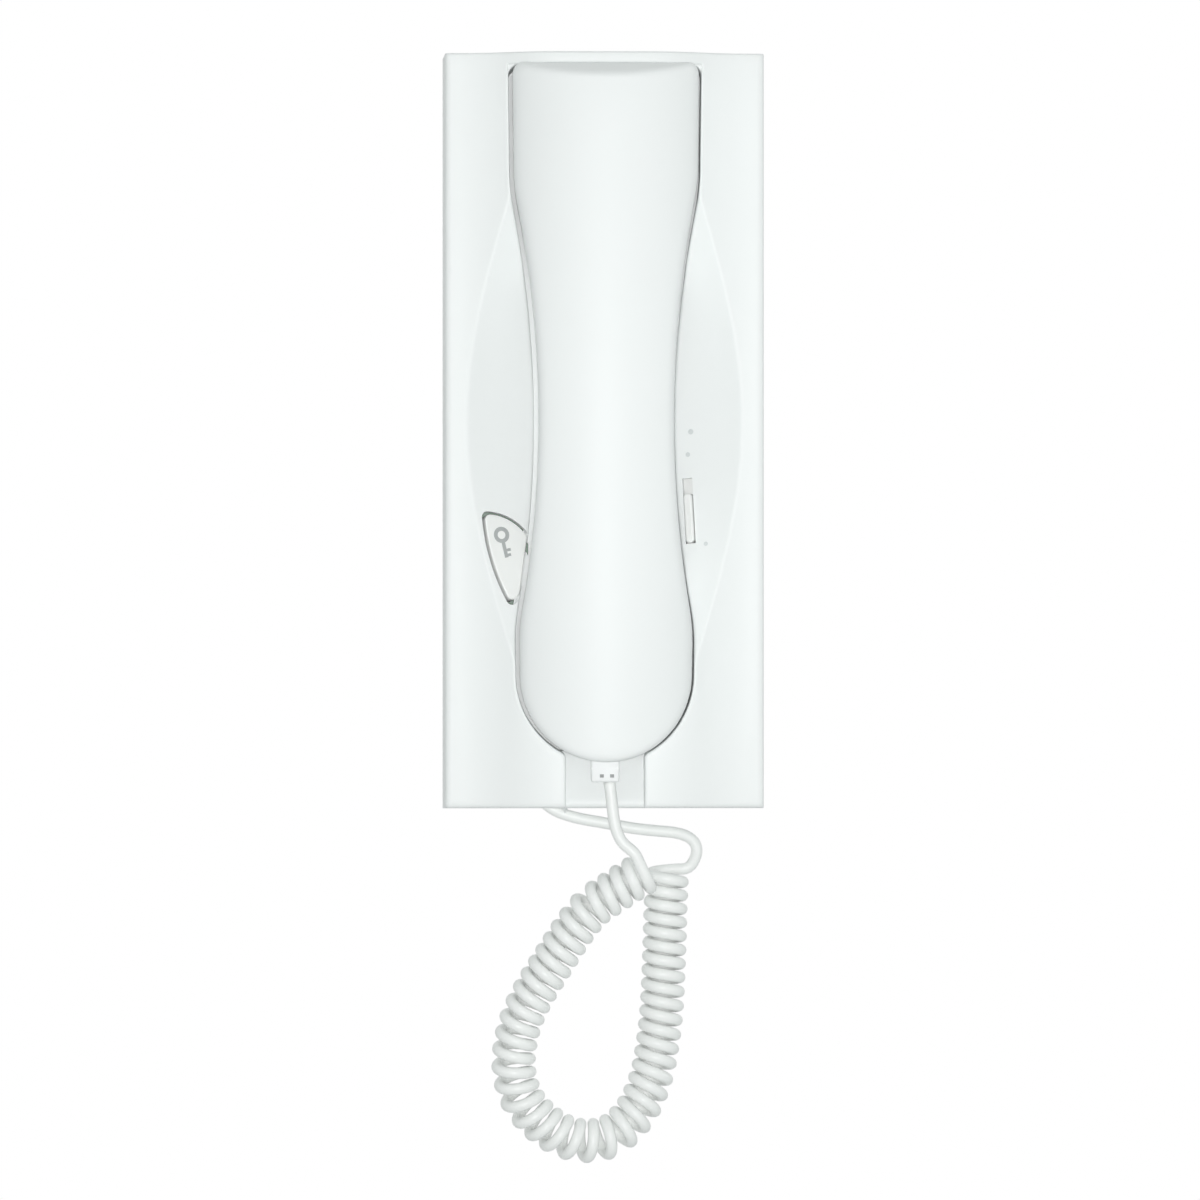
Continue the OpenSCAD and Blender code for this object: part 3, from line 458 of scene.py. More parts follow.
def addRod(shape, x, z, radius, low, high, sides=48, turn=None):
    made = bmesh.ops.create_cone(shape, cap_ends=True, segments=sides, radius1=radius * mm,
                                 radius2=radius * mm, depth=(high - low) * mm)["verts"]
    place = Matrix.Translation(point(x, (low + high) / 2, z)) @ Matrix.Rotation(math.pi / 2, 4, "X")
    bmesh.ops.transform(shape, matrix=turn @ place if turn else place, verts=made)


def carve(thing, shape, operation):
    bmesh.ops.recalc_face_normals(shape, faces=shape.faces)
    cutter = newObject("cutter", shape)
    cutter.hide_render = True
    step = thing.modifiers.new(operation.lower(), "BOOLEAN")
    step.operation = operation
    step.solver = "EXACT"
    step.object = cutter
    return cutter


# cuts holes in an open sheet and leaves no cutter faces behind
def pierce(thing, shape):
    thing.data.materials.append(looks["shellWhite"])
    cutter = carve(thing, shape, "DIFFERENCE")
    cutter.data.materials.append(looks["signAndShadeGrey"])
    thing.modifiers[-1].material_mode = "TRANSFER"
    settle(thing, drop=[cutter])
    shape = bmesh.new()
    shape.from_mesh(thing.data)
    bmesh.ops.delete(shape, geom=[f for f in shape.faces if f.material_index], context="FACES")
    shape.to_mesh(thing.data)
    shape.free()


# modifiers are turned into plain mesh, smooth except along true edges
def settle(thing, angle=38, drop=()):
    bpy.context.view_layer.update()
    depsgraph = bpy.context.evaluated_depsgraph_get()
    mesh = bpy.data.meshes.new_from_object(thing.evaluated_get(depsgraph))
    thing.modifiers.clear()
    old = thing.data
    thing.data = mesh
    bpy.data.meshes.remove(old)
    for cutter in drop:
        spare = cutter.data
        bpy.data.objects.remove(cutter)
        bpy.data.meshes.remove(spare)
    shape = bmesh.new()
    shape.from_mesh(mesh)
    for face in shape.faces:
        face.smooth = True
    limit = math.radians(angle)
    for edge in shape.edges:
        edge.smooth = len(edge.link_faces) == 2 and edge.calc_face_angle(0) < limit
    shape.to_mesh(mesh)
    shape.free()


def thicken(thing, wall):
    step = thing.modifiers.new("wall", "SOLIDIFY")
    step.thickness = wall * mm
    step.offset = -1
    step.use_even_offset = False
    step.use_quality_normals = True


def addBevel(thing, width, angle, segments):
    step = thing.modifiers.new("edges", "BEVEL")
    step.width = width * mm
    step.segments = segments
    step.limit_method = "ANGLE"
    step.angle_limit = math.radians(angle)


def soften(thing, width, angle=30, segments=3):
    addBevel(thing, width, angle, segments)
    settle(thing)


def faceOut(shape, direction):
    aim = Vector(direction)
    if sum(face.normal.dot(aim) * face.calc_area() for face in shape.faces) < 0:
        bmesh.ops.reverse_faces(shape, faces=shape.faces)


# front cover: rows run down the base, each from the side wall to the middle of the pocket
coverGrid = {
    "span": (68, -64), "rows": (22, 150, 5), "mouthRows": 34, "tipRows": 8, "channelRows": 10,
    "sideDepths": (8, 16), "edgeColumns": 6, "scan": 600, "creaseOuter": 1.6, "creaseInner": 1.8,
    "wingColumns": 9, "creaseReach": 0.9, "crease": (0.6, 0.3, 0, -0.3, -0.6), "hollowColumns": 15,
    "lipColumns": 6, "lipShare": 0.6, "wallColumns": 2, "floorColumns": 8, "roundRows": 5,
    "endShares": (0.34, 0.67, 1), "leanBelow": 98,
}


def pocketRows():
    b, g, h = base, coverGrid, handset
    grow = b["pocketGap"]
    rows = []
    for z in rowHeights(b["pocketTop"], g["span"], g["rows"]):
        rows.append((float(halfWidth(z, grow)), z, *sideNormal(z, grow)))
    rows[0] = (*rows[0][:2], 1, 0)
    radius = h["mouth"] + grow
    tip = b["tipRound"]
    tipX = b["channel"] + tip
    tipZ = h["mouthZ"] - math.sqrt((radius + tip) ** 2 - tipX**2)
    last = math.atan2(tipZ - h["mouthZ"], tipX)
    for a in np.linspace(0, last, g["mouthRows"])[1:]:
        rows.append((radius * math.cos(a), h["mouthZ"] + radius * math.sin(a), math.cos(a), math.sin(a)))
    for a in np.linspace(last + math.pi, math.pi, g["tipRows"])[1:]:
        rows.append((tipX + tip * math.cos(a), tipZ + tip * math.sin(a), -math.cos(a), -math.sin(a)))
    for z in np.linspace(tipZ, -b["halfHeight"] + b["edgeRound"], g["channelRows"])[1:]:
        rows.append((b["channel"], z, 1, 0))
    return rows


def coverRow(x, z, nx, nz):
    b, g = base, coverGrid
    edge, lip = b["edgeRound"], b["lipRound"]
    half = []
    corner = b["halfWidth"] - b["lean"] * b["edge"]
    start = b["halfWidth"] - b["lean"] * (b["edge"] - edge)
    for d in (b["back"], *g["sideDepths"]):
        half.append((b["halfWidth"] - b["lean"] * d, d, z))
    for u in np.linspace(0, 1, g["edgeColumns"]):
        px = (1 - u) ** 2 * start + 2 * u * (1 - u) * corner + u * u * (corner - edge)
        pd = (1 - u) ** 2 * (b["edge"] - edge) + 2 * u * (1 - u) * b["edge"] + u * u * b["edge"]
        half.append((px, pd, z))
    lipX, lipZ = x + nx * lip, z + nz * lip
    scan = np.linspace(lipX, corner - edge, g["scan"])
    inside = np.nonzero(hollowDepth(scan, z) < sweepDepth(scan))[0]
    crease = scan[inside[-1]] if len(inside) else lipX
    crease = min(max(crease, lipX + g["creaseInner"]), corner - edge - g["creaseOuter"])
    reach = g["creaseReach"]
    columns = np.concatenate([
        np.linspace(corner - edge, crease + reach, g["wingColumns"])[1:], crease + np.array(g["crease"]),
        np.linspace(crease - reach, lipX, g["hollowColumns"]),
    ])
    for cx in columns:
        t = (cx - lipX) / (corner - edge - lipX)
        cz = lipZ + (z - lipZ) * t
        half.append((cx, float(frontDepth(cx, cz)), cz))
    floor = b["floor"]
    if z < b["channelTop"]:
        floor = b["channelDepth"] + (b["channelTop"] - z) * b["channelSlope"]
    drop = min(lip, g["lipShare"] * (float(frontDepth(x, z)) - floor))
    for u in np.linspace(1, 0, g["lipColumns"])[1:]:
        t = lip * u * u
        px, pz = x + nx * t, z + nz * t
        half.append((px, float(frontDepth(px, pz)) - drop * (1 - u) ** 2, pz))
    top = half[-1][1]
    for k in range(1, g["wallColumns"] + 1):
        half.append((x, top + (floor - top) * k / g["wallColumns"], z))
    for k in range(1, g["floorColumns"] + 1):
        half.append((x * (1 - k / g["floorColumns"]), floor, z))
    return half


def leanEnds(rows):
    b = base
    below = coverGrid["leanBelow"]
    done = []
    for row in rows:
        moved = []
        for x, d, z in row:
            high = max(z - b["pocketTop"], 0) / (b["halfHeight"] - b["pocketTop"])
            low = max(-below - z, 0) / (b["halfHeight"] - below)
            moved.append((x, d, z - (high - low) * b["lean"] * d))
        done.append(moved)
    return done


def endRows(row, z, side, radius):
    back = base["back"]
    rows = []
    for u in np.linspace(0, 1, coverGrid["roundRows"])[1:]:
        end = z + side * radius * (1 - (1 - u) ** 2)
        rows.append([(x, max(d - radius * u * u, back), end) for x, d, _ in row])
    last = rows[-1]
    for t in coverGrid["endShares"]:
        rows.append([(x, d + (back - d) * t, pz) for x, d, pz in last])
    return rows


def coverGrids():
    b, g = base, coverGrid
    halves = [coverRow(*row) for row in pocketRows()]
    main = halves + endRows(halves[-1], -b["halfHeight"] + b["edgeRound"], -1, b["edgeRound"])
    # the strip above the pocket, with the pocket's upper edge rounded over
    top = halves[0]
    wallAt = len(top) - g["wallColumns"] - g["floorColumns"]
    outer, inner = top[:wallAt], top[wallAt + 1:]
    edgeX = outer[-1][0]
    lip = b["lipRound"]
    rim = []
    flat = b["halfHeight"] - b["rimRound"]
    rises = [b["rimRound"] * u * u for u in np.linspace(0, 1, g["roundRows"])]
    for rise in rises + [flat - b["pocketTop"]]:
        row = []
        for x, d, _ in outer + inner[1:]:
            gap = min(math.hypot(max(x - edgeX, 0) / lip, rise / b["rimRound"]), 1)
            full = float(frontDepth(x, b["pocketTop"])) if x <= b["footX"] + 1 else d
            row.append((x, full - lip * (1 - math.sqrt(gap)) ** 2, b["pocketTop"] + rise))
        rim.append(row)
    rim += endRows(rim[-1], flat, 1, b["rimRound"])
    above = [outer[-1]] + rim[0][wallAt:]
    between = [(x, (d + e) / 2, z) for (x, d, z), (_, e, _) in zip(inner, above)]
    closing = [inner, between, above]
    return [leanEnds([mirrored(half) for half in grid]) for grid in (main, rim, closing)]


button = {
    "x": -27, "depth": 22.79, "z": -35, "turn": 19.86, "tip": 9.35, "gap": 0.55, "play": 0.25, "proud": 0.5,
    "corners": ((-6.2, 12.3), (7.4, 4.4), (0.5, -13.4)), "radii": (14, 24, 60), "cornerRound": 1.6,
    "round": 0.55, "lip": 0.2, "skirt": 3.4, "stem": (2, -11, -3, 32), "hole": (-4.2, 6),
    "arcPoints": 22, "cornerPoints": 8,
}
slider = {
    "x": 23.5, "depth": 20.01, "z": -24, "turn": -16.86, "lean": -5, "knobHalf": 1.1, "knobLong": 6.8,
    "proud": 1.2, "round": 0.5, "cornerRound": 0.95, "skirt": 3.6, "leastRound": 0.05, "cornerPoints": 7,
    "hole": ((-1.4, -8, -7.1), (1.4, 5, 11.1)),
    "shutter": ((-2.2, -3.7, -11.6), (2.2, -3.2, 11.6)), "tongue": ((-0.9, -11.6, -1.5), (0.9, -3.6, 1.5)),
}
capGrid = {"edgeRings": 6, "topShares": (0.2, 0.4, 0.6, 0.8, 1), "smooth": 50}


def seat(facts):
    spin = Matrix.Rotation(math.radians(facts["turn"]), 4, "Z")
    lean = Matrix.Rotation(math.radians(facts.get("lean", 0)), 4, "Y")
    tip = Matrix.Rotation(math.radians(-facts.get("tip", 0)), 4, "X")
    return Matrix.Translation(point(facts["x"], facts["depth"], facts["z"])) @ spin @ lean @ tip


# points of an arc from one direction to another, the short way round
def arcPoints(centre, radius, start, end, count):
    a0, a1 = (math.atan2(*v[::-1]) for v in (start, end))
    a1 -= 2 * math.pi * round((a1 - a0) / (2 * math.pi))
    return [centre + radius * np.array([math.cos(a), math.sin(a)]) for a in np.linspace(a0, a1, count)]


# leaf outline: three arcs, grown by gap, with the corners eased
def leafOutline(gap, ease):
    corners = [np.array(c, float) for c in button["corners"]]
    arcs = []
    for k in range(3):
        p, q, r = corners[k], corners[(k + 1) % 3], button["radii"][k]
        d = q - p
        size = np.linalg.norm(d)
        inward = np.array([d[1], -d[0]]) / size
        arcs.append((p + d / 2 + inward * math.sqrt(r * r - size * size / 4), r + gap - ease))
    line = []
    for k in range(3):
        (c0, r0), (c1, r1), (c2, r2) = arcs[k - 1], arcs[k], arcs[(k + 1) % 3]
        start, end = cross(c0, r0, c1, r1, corners[k]), cross(c1, r1, c2, r2, corners[(k + 1) % 3])
        line += arcPoints(c1, r1 + ease, start - c1, end - c1, button["arcPoints"])
        line += arcPoints(end, ease, end - c1, end - c2, button["cornerPoints"])[1:-1]
    if gap > 0:
        return line
    # the pocket trims the cap
    place = seat(button)
    edge = button["lip"] - gap
    kept = []
    for x, z in line:
        spot = place @ Vector(point(x, 0, z)) / mm
        over = spot.x + float(halfWidth(spot.z, base["pocketGap"])) + edge
        kept.append((x - max(over, 0) / math.cos(math.radians(button["turn"])), z))
    return kept


def cross(c0, r0, c1, r1, near):
    d = c1 - c0
    size = np.linalg.norm(d)
    a = (r0 * r0 - r1 * r1 + size * size) / (2 * size)
    h = math.sqrt(max(r0 * r0 - a * a, 0))
    foot = c0 + d * a / size
    side = np.array([-d[1], d[0]]) / size * h
    return min((foot + side, foot - side), key=lambda p: np.linalg.norm(p - near))


def addPrism(shape, outline, low, high, place):
    rings = [[shape.verts.new(place @ Vector(point(x, d, z))) for x, z in outline] for d in (low, high)]
    count = len(outline)
    for k in range(count):
        shape.faces.new((rings[0][k], rings[0][(k + 1) % count], rings[1][(k + 1) % count], rings[1][k]))
    shape.faces.new(rings[0])
    shape.faces.new(rings[1])


# height of a hollow's surface, moved outwards by proud, over a seat's own plane
def seatHeight(facts, x, z, proud):
    place = seat(facts)
    out = -(place.to_3x3() @ Vector((0, -1, 0))).y
    height = 0.0
    rounds = 6
    for _ in range(rounds):
        spot = place @ Vector(point(x, height, z)) / mm
        reach = float(barrelAt(spot.z)) - proud
        target = hollow["axis"] - math.sqrt(reach**2 - spot.x**2)
        height += (target + spot.y) / out
    return height


# a cap with a rounded edge whose top follows the hollow
def capShape(facts, outlineAt, proud):
    place = seat(facts)
    edge = facts["round"]
    rings = [[(x, -facts["skirt"], z) for x, z in outlineAt(0)]]
    for u in np.linspace(0, 1, capGrid["edgeRings"]):
        ring = []
        for x, z in outlineAt(edge * u * u):
            ring.append((x, seatHeight(facts, x, z, proud) - edge * (1 - u) ** 2, z))
        rings.append(ring)
    last = outlineAt(edge)
    middle = np.mean(last, axis=0)
    for t in capGrid["topShares"]:
        ring = []
        for spot in last:
            x, z = np.array(spot) + (middle - np.array(spot)) * t
            ring.append((x, seatHeight(facts, x, z, proud), z))
        rings.append(ring)
    shape = gridShape([[ring + ring[:1] for ring in rings]])
    bmesh.ops.transform(shape, matrix=place, verts=shape.verts)
    return shape


def barOutline(inset):
    half, long = slider["knobHalf"] - inset, slider["knobLong"] - inset
    corner = max(slider["cornerRound"] - inset, slider["leastRound"])
    line = []
    for k, (sx, sz) in enumerate(((1, 1), (-1, 1), (-1, -1), (1, -1))):
        x, z = sx * (half - corner), sz * (long - corner)
        for a in np.linspace(k * math.pi / 2, (k + 1) * math.pi / 2, slider["cornerPoints"]):
            line.append((x + corner * math.cos(a), z + corner * math.sin(a)))
    return line


# flat signs that stand a hair proud of the surface they are printed on
def addSign(shape, facts, outer, inner, proud, lift):
    place = seat(facts)

    def lay(x, z, height):
        return shape.verts.new(place @ Vector(point(x, seatHeight(facts, x, z, proud) + height, z)))

    count = len(outer)
    sunk = -0.1
    rings = [[lay(x, z, sunk) for x, z in outer], [lay(x, z, lift) for x, z in outer],
             [lay(x, z, lift) for x, z in inner], [lay(x, z, sunk) for x, z in inner]]
    for low, high in zip(rings, rings[1:]):
        for k in range(count):
            shape.faces.new((low[k], low[(k + 1) % count], high[(k + 1) % count], high[k]))


def ring(x, z, radius, count=32):
    return [(x + radius * math.cos(2 * math.pi * k / count), z + radius * math.sin(2 * math.pi * k / count))
            for k in range(count)]


def bar(x, z, half, long, angle):
    c, s = math.cos(angle), math.sin(angle)
    steps = np.linspace(-long, long, 5)
    side = [(half, t) for t in steps] + [(-half, -t) for t in steps]
    outline = [(x + px * c - pz * s, z + px * s + pz * c) for px, pz in side]
    core = [(x - t * s, z + t * c) for t in list(steps) + list(-steps)]
    return outline, core


keySign = {
    "bow": (-1.3, 6.3), "outer": 2.25, "inner": 1.15, "tilt": 11, "shaft": (2.0, 6.4), "thin": 0.5,
    "teeth": ((4.4, 1.15), (5.8, 0.9)), "toothHalf": 0.38, "lift": 0.05, "layer": 0.01,
}
levelMarks = {
    "spots": ((23.9, -0.1, 0.75), (23.1, -6.4, 0.65), (27.9, -31.1, 0.6)), "core": 0.05, "sides": 20,
    "lift": 0.04,
}


def addButton():
    cap = newObject("door_button_cap", capShape(
        button, lambda t: leafOutline(-button["play"] - t, button["cornerRound"]), button["proud"]))
    stem = bmesh.new()
    stem.from_mesh(cap.data)
    addRod(stem, 0, 0, *button["stem"], seat(button))
    stem.to_mesh(cap.data)
    stem.free()
    settle(cap, capGrid["smooth"])
    signShape = bmesh.new()

    def lay(outer, inner, layer):
        addSign(signShape, button, outer, inner, button["proud"], keySign["lift"] + layer * keySign["layer"])

    x, z = keySign["bow"]
    lay(ring(x, z, keySign["outer"]), ring(x, z, keySign["inner"]), 0)
    tilt = math.radians(keySign["tilt"])
    down = np.array([math.sin(tilt), -math.cos(tilt)])
    across = np.array([math.cos(tilt), math.sin(tilt)])
    start, end = keySign["shaft"]
    centre = np.array([x, z]) + down * (start + end) / 2
    lay(*bar(*centre, keySign["thin"], (end - start) / 2, tilt), 1)
    for run, size in keySign["teeth"]:
        centre = np.array([x, z]) + down * run + across * (keySign["thin"] + size / 2)
        lay(*bar(*centre, size / 2, keySign["toothHalf"], tilt), 2)
    bmesh.ops.recalc_face_normals(signShape, faces=signShape.faces)
    sign = newObject("key_sign", signShape)
    paint(cap, "buttonWhite")
    paint(sign, "signAndShadeGrey")
    for piece in (cap, sign):
        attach(piece, "door_button")
    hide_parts("door_button")


def addSlider():
    shape = capShape(slider, barOutline, slider["proud"])
    addBlock(shape, *slider["shutter"], seat(slider))
    addBlock(shape, *slider["tongue"], seat(slider))
    knob = newObject("volume_knob", shape)
    settle(knob, capGrid["smooth"])
    paint(knob, "buttonWhite")
    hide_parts("volume_slider")
    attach(knob, "volume_slider")
    marksShape = bmesh.new()
    sides = levelMarks["sides"]
    for x, z, size in levelMarks["spots"]:
        turn = -math.degrees(math.asin(x / float(barrelAt(z))))
        facts = {"x": x, "depth": float(hollowDepth(x, z)), "z": z, "turn": turn}
        outer, inner = ring(0, 0, size, sides), ring(0, 0, size * levelMarks["core"], sides)
        addSign(marksShape, facts, outer, inner, 0, levelMarks["lift"])
    bmesh.ops.recalc_face_normals(marksShape, faces=marksShape.faces)
    marks = newObject("level_marks", marksShape)
    paint(marks, "markGrey")
    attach(marks, "base")


# openings, and what stands on the pocket's floor
coverParts = {
    "leverWindow": ((-5, 11, 49.15), (5, 17, 58.1)), "cordExit": ((-22, 5.4, -106.5), (-9.4, 10.6, -101.5)),
    "slots": (-8, -4, 0, 4, 8), "slotLow": (-0.8, 11, -35.5), "slotHigh": (0.8, 17, -20.5),
    "screws": (96, -84.2), "screwRod": (1.85, 11, 18), "pads": ((19, 94.2), (12.2, -77.5)),
    "padRod": (2.5, 15.6, 17.7, 32), "earRest": (0, 78, 8, 15.6, 21.2, 64), "round": 0.5,
    "inWall": 1.2, "inFloor": 0.4, "cornerPoints": 9,
}


# rounds one of the pocket's upper corners; its back part lies inside the cover's wall
def addCorner(shape, side):
    b, c = base, coverParts
    radius, inWall = b["topRound"], c["inWall"]
    x, z = float(halfWidth(b["pocketTop"], b["pocketGap"])), b["pocketTop"]
    outline = [(x - radius, z + inWall), (x + inWall, z + inWall), (x + inWall, z - radius)]
    for a in np.linspace(0, math.pi / 2, c["cornerPoints"]):
        outline.append((x - radius + radius * math.cos(a), z - radius + radius * math.sin(a)))
    low = [b["floor"] - c["inFloor"]] * len(outline)
    high = [float(sweepDepth(px)) - b["lipRound"] for px, _ in outline]
    rings = []
    for depths in (low, high):
        rings.append([shape.verts.new(point(side * px, d, pz)) for (px, pz), d in zip(outline, depths)])
    for k in range(len(outline)):
        shape.faces.new((rings[0][k - 1], rings[0][k], rings[1][k], rings[1][k - 1]))
    for line in rings:
        shape.faces.new(line)


def addCover():
    c = coverParts
    shape = gridShape(coverGrids())
    faceOut(shape, (0, -1, 0))
    cover = newObject("base_cover", shape)
    cuts = bmesh.new()
    addPrism(cuts, leafOutline(button["gap"], button["cornerRound"]), *button["hole"], seat(button))
    addBlock(cuts, *slider["hole"], seat(slider))
    addBlock(cuts, *c["leverWindow"])
    for x in c["slots"]:
        low, high = ((x + side, depth, z) for side, depth, z in (c["slotLow"], c["slotHigh"]))
        addBlock(cuts, low, high)
    for z in c["screws"]:
        addRod(cuts, 0, z, *c["screwRod"])
    addBlock(cuts, *c["cordExit"])
    pierce(cover, cuts)
    thicken(cover, base["wall"])
    settle(cover)
    pads = bmesh.new()
    for x, z in c["pads"]:
        for side in (-1, 1):
            addRod(pads, side * x, z, *c["padRod"])
    addRod(pads, *c["earRest"])
    for side in (-1, 1):
        addCorner(pads, side)
    bmesh.ops.recalc_face_normals(pads, faces=pads.faces)
    rests = newObject("cover_rests", pads)
    soften(rests, c["round"])
    for piece in (cover, rests):
        paint(piece, "shellWhite")
        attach(piece, "base")
    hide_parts("front_cover")


addCover()
addButton()
addSlider()
print("stage: cover, button and slider")


# handset shells: rows down to the mouth, then a fan round the lower end
shellGrid = {
    "span": (67, -63), "rows": (24, 110, 5), "cornerRows": 9, "wallShares": (0.5, 1), "roundColumns": 7,
    "faceColumns": 14, "edgeAt": 9, "flatBelow": 1, "fanRows": 61,
}


def shellEdges():
    g, h = shellGrid, handset
    rows = []
    centreZ = h["top"] - h["corner"]
    centreX = float(halfWidth(centreZ)) - h["corner"]
    for a in np.linspace(math.pi / 2, 0, g["cornerRows"])[:-1]:
        rows.append((centreX + h["corner"] * math.cos(a), centreZ + h["corner"] * math.sin(a),
                     math.cos(a), math.sin(a)))
    for z in rowHeights(centreZ, g["span"], g["rows"]):
        rows.append((float(halfWidth(z)), z, *sideNormal(z, 0)))
    # the fan starts square to the side
    rows[-1] = (h["mouth"], h["mouthZ"], 1, 0)
    return rows


def shellRow(x, z, nx, nz, depthAt, wallFrom, sign, radius, middle=None):
    g = shellGrid
    half = []
    innerX, innerZ = x - nx * radius, z - nz * radius
    edge = depthAt(x, z)
    chamfer = handset["seam"]
    half.append((x - nx * 2 * chamfer, wallFrom, z - nz * 2 * chamfer))
    half.append((x, wallFrom + sign * 2 * chamfer, z))
    stop = edge - sign * radius
    start = wallFrom + sign * 2 * chamfer
    for t in g["wallShares"]:
        half.append((x, start + (stop - start) * t, z))
    inner = depthAt(innerX, innerZ)
    for u in np.linspace(0, 1, g["roundColumns"])[1:]:
        px = (1 - u * u) * x + u * u * innerX
        pz = (1 - u * u) * z + u * u * innerZ
        pd = (1 - u) ** 2 * stop + 2 * u * (1 - u) * edge + u * u * inner
        half.append((px, pd, pz))
    end = (0, innerZ) if middle is None else middle
    for k in range(1, g["faceColumns"] + 1):
        t = k / g["faceColumns"]
        px, pz = innerX + (end[0] - innerX) * t, innerZ + (end[1] - innerZ) * t
        half.append((px, depthAt(px, pz), pz))
    return half


def shellGrids(depthAt, wallFrom, sign, radius):
    g, h = shellGrid, handset
    halves = [shellRow(*edge, depthAt, wallFrom, sign, radius) for edge in shellEdges()]
    # the top end joins the two corners with the same edge, straight across
    profile, face = halves[0][:g["edgeAt"]], halves[0][g["edgeAt"]:]
    lid = []
    for _, d, z in profile:
        flat = (d - wallFrom) * sign < g["flatBelow"]
        lid.append([(x, d if flat else d + (full - face[0][1]), z) for x, full, _ in face])
    lid.append([(x, full, face[0][2]) for x, full, _ in face])
    fan = []
    for a in np.linspace(0, -math.pi, g["fanRows"]):
        edge = (h["mouth"] * math.cos(a), h["mouthZ"] + h["mouth"] * math.sin(a), math.cos(a), math.sin(a))
        fan.append(shellRow(*edge, depthAt, wallFrom, sign, radius, (0, h["mouthZ"])))
    return [[mirrored(half) for half in halves], [mirrored(row) for row in lid], fan]


def leanTop(grids):
    h = handset
    done = []
    for rows in grids:
        moved = []
        for row in rows:
            line = []
            for x, d, z in row:
                s = min(max((z - h["top"] + h["leanSpan"]) / h["leanSpan"], 0), 1) ** 2
                line.append((x, d, z - s * max(d - h["leanFrom"], 0) * h["lean"]))
            moved.append(line)
        done.append(moved)
    return done


def backDepth(x, z):
    h = handset
    away = min(abs(z - h["middle"]), h["archSpan"])
    arch = h["grip"] - h["archRadius"] + math.sqrt(h["archRadius"] ** 2 - away**2)
    return -float(smoothMin(-arch, -h["backDepth"], h["archSoft"]))


# screw bosses, the ear's seat and the holes for sound, plug and screws
shellParts = {
    "screws": ((-16, 56), (-16, -56), (16, 56), (16, -56)), "bossRod": (4.6, 18.6, 37.6),
    "screwRod": (3.1, 15, 26, 40), "earZ": 78, "earRing": (17.8, 18.6, 23.5, 96),
    "earDish": (16, 15, 21.5, 96), "earHoles": 7, "earReach": 10, "earTurn": 60,
    "earRod": (1.1, 20.5, 25, 24), "mouthHoles": (-3.2, 0, 3.2), "mouthZ": -62.5,
    "mouthRod": (0.7, 15, 22, 20), "plugHole": ((-4.1, 24.05, -92), (4.1, 31.15, -84)),
}


def addHandset():
    h, parts = handset, shellParts

    def crown(x, z):
        return float(crownDepth(x, z))

    shape = gridShape(leanTop(shellGrids(crown, h["parting"] + h["seam"], 1, h["edgeRound"])))
    faceOut(shape, (0, -1, 0))
    front = newObject("handset_front_shell", shape)
    thicken(front, h["wall"])
    settle(front)
    shape = gridShape(shellGrids(backDepth, h["parting"] - h["seam"], -1, h["backRound"]))
    faceOut(shape, (0, 1, 0))
    back = newObject("handset_back_shell", shape)
    thicken(back, h["wall"])
    settle(back)
    adds, cuts = bmesh.new(), bmesh.new()
    earZ = parts["earZ"]
    addRod(adds, 0, earZ, *parts["earRing"])
    addRod(cuts, 0, earZ, *parts["earDish"])
    # one hole in the middle and the others round it
    for k in range(parts["earHoles"]):
        a = math.radians(parts["earTurn"] * k)
        reach = parts["earReach"] if k else 0
        addRod(cuts, reach * math.cos(a), earZ + reach * math.sin(a), *parts["earRod"])
    for x, z in parts["screws"]:
        addRod(adds, x, z, *parts["bossRod"])
        addRod(cuts, x, z, *parts["screwRod"])
    for x in parts["mouthHoles"]:
        addRod(cuts, x, parts["mouthZ"], *parts["mouthRod"])
    addBlock(cuts, *parts["plugHole"])
    adder = carve(back, adds, "UNION")
    settle(back, drop=[adder])
    cutter = carve(back, cuts, "DIFFERENCE")
    settle(back, drop=[cutter])
    for piece, node in ((front, "handset_front"), (back, "handset_back")):
        paint(piece, "shellWhite")
        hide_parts(node)
        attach(piece, "handset")


addHandset()
print("stage: handset")


# modular plug: only its lower end shows, with two small holes in its face
plug = {
    "low": (-3.85, 24.3, -96.4), "high": (3.85, 30.9, -78.2), "round": 0.55, "holes": (-0.9, 1.9),
    "holeZ": -94.7, "holeSize": (0.55, 0.45), "holeDepth": 0.9, "groove": (-92.9, -92.4),
    "grooveHalf": 5, "grooveDepth": 0.25, "clear": 1, "slack": 0.01,
}


def addPlug():
    shape = bmesh.new()
    addBlock(shape, plug["low"], plug["high"])
    body = newObject("modular_plug", shape)
    soften(body, plug["round"])
    cuts = bmesh.new()
    face = plug["high"][1]
    halfX, halfZ = plug["holeSize"]
    across, slack, front = plug["grooveHalf"], plug["slack"], face + plug["clear"]
    for x in plug["holes"]:
        addBlock(cuts, (x - halfX, face - plug["holeDepth"], plug["holeZ"] - halfZ),
                 (x + halfX, front, plug["holeZ"] + halfZ))
    low, high = plug["groove"]
    addBlock(cuts, (-across, face - plug["grooveDepth"], low), (across, front, high))
    cutter = carve(body, cuts, "DIFFERENCE")
    settle(body, drop=[cutter])
    paint(body, "plugWhite")
    # the holes' insides are painted shade: a dark grey stands in for the shade that falls in them
    body.data.materials.append(looks["signAndShadeGrey"])
    for part in body.data.polygons:
        x, y, z = part.center / mm
        beside = min(abs(x - hole) for hole in plug["holes"])
        if beside < halfX + slack and abs(z - plug["holeZ"]) < halfZ + slack and -y < face - slack:
            part.material_index = 1
    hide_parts("handset_plug")
    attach(body, "handset")
    return body


plugPiece = addPlug()
print("stage: plug")


# CAD nodes that stay, in their own finishes; the two that show get their edges taken off
nodeEdges = {"hook_lever": 0.35, "wall_plate": 0.3}
nodeBevel = {"weld": 0.005, "angle": 40, "segments": 2}


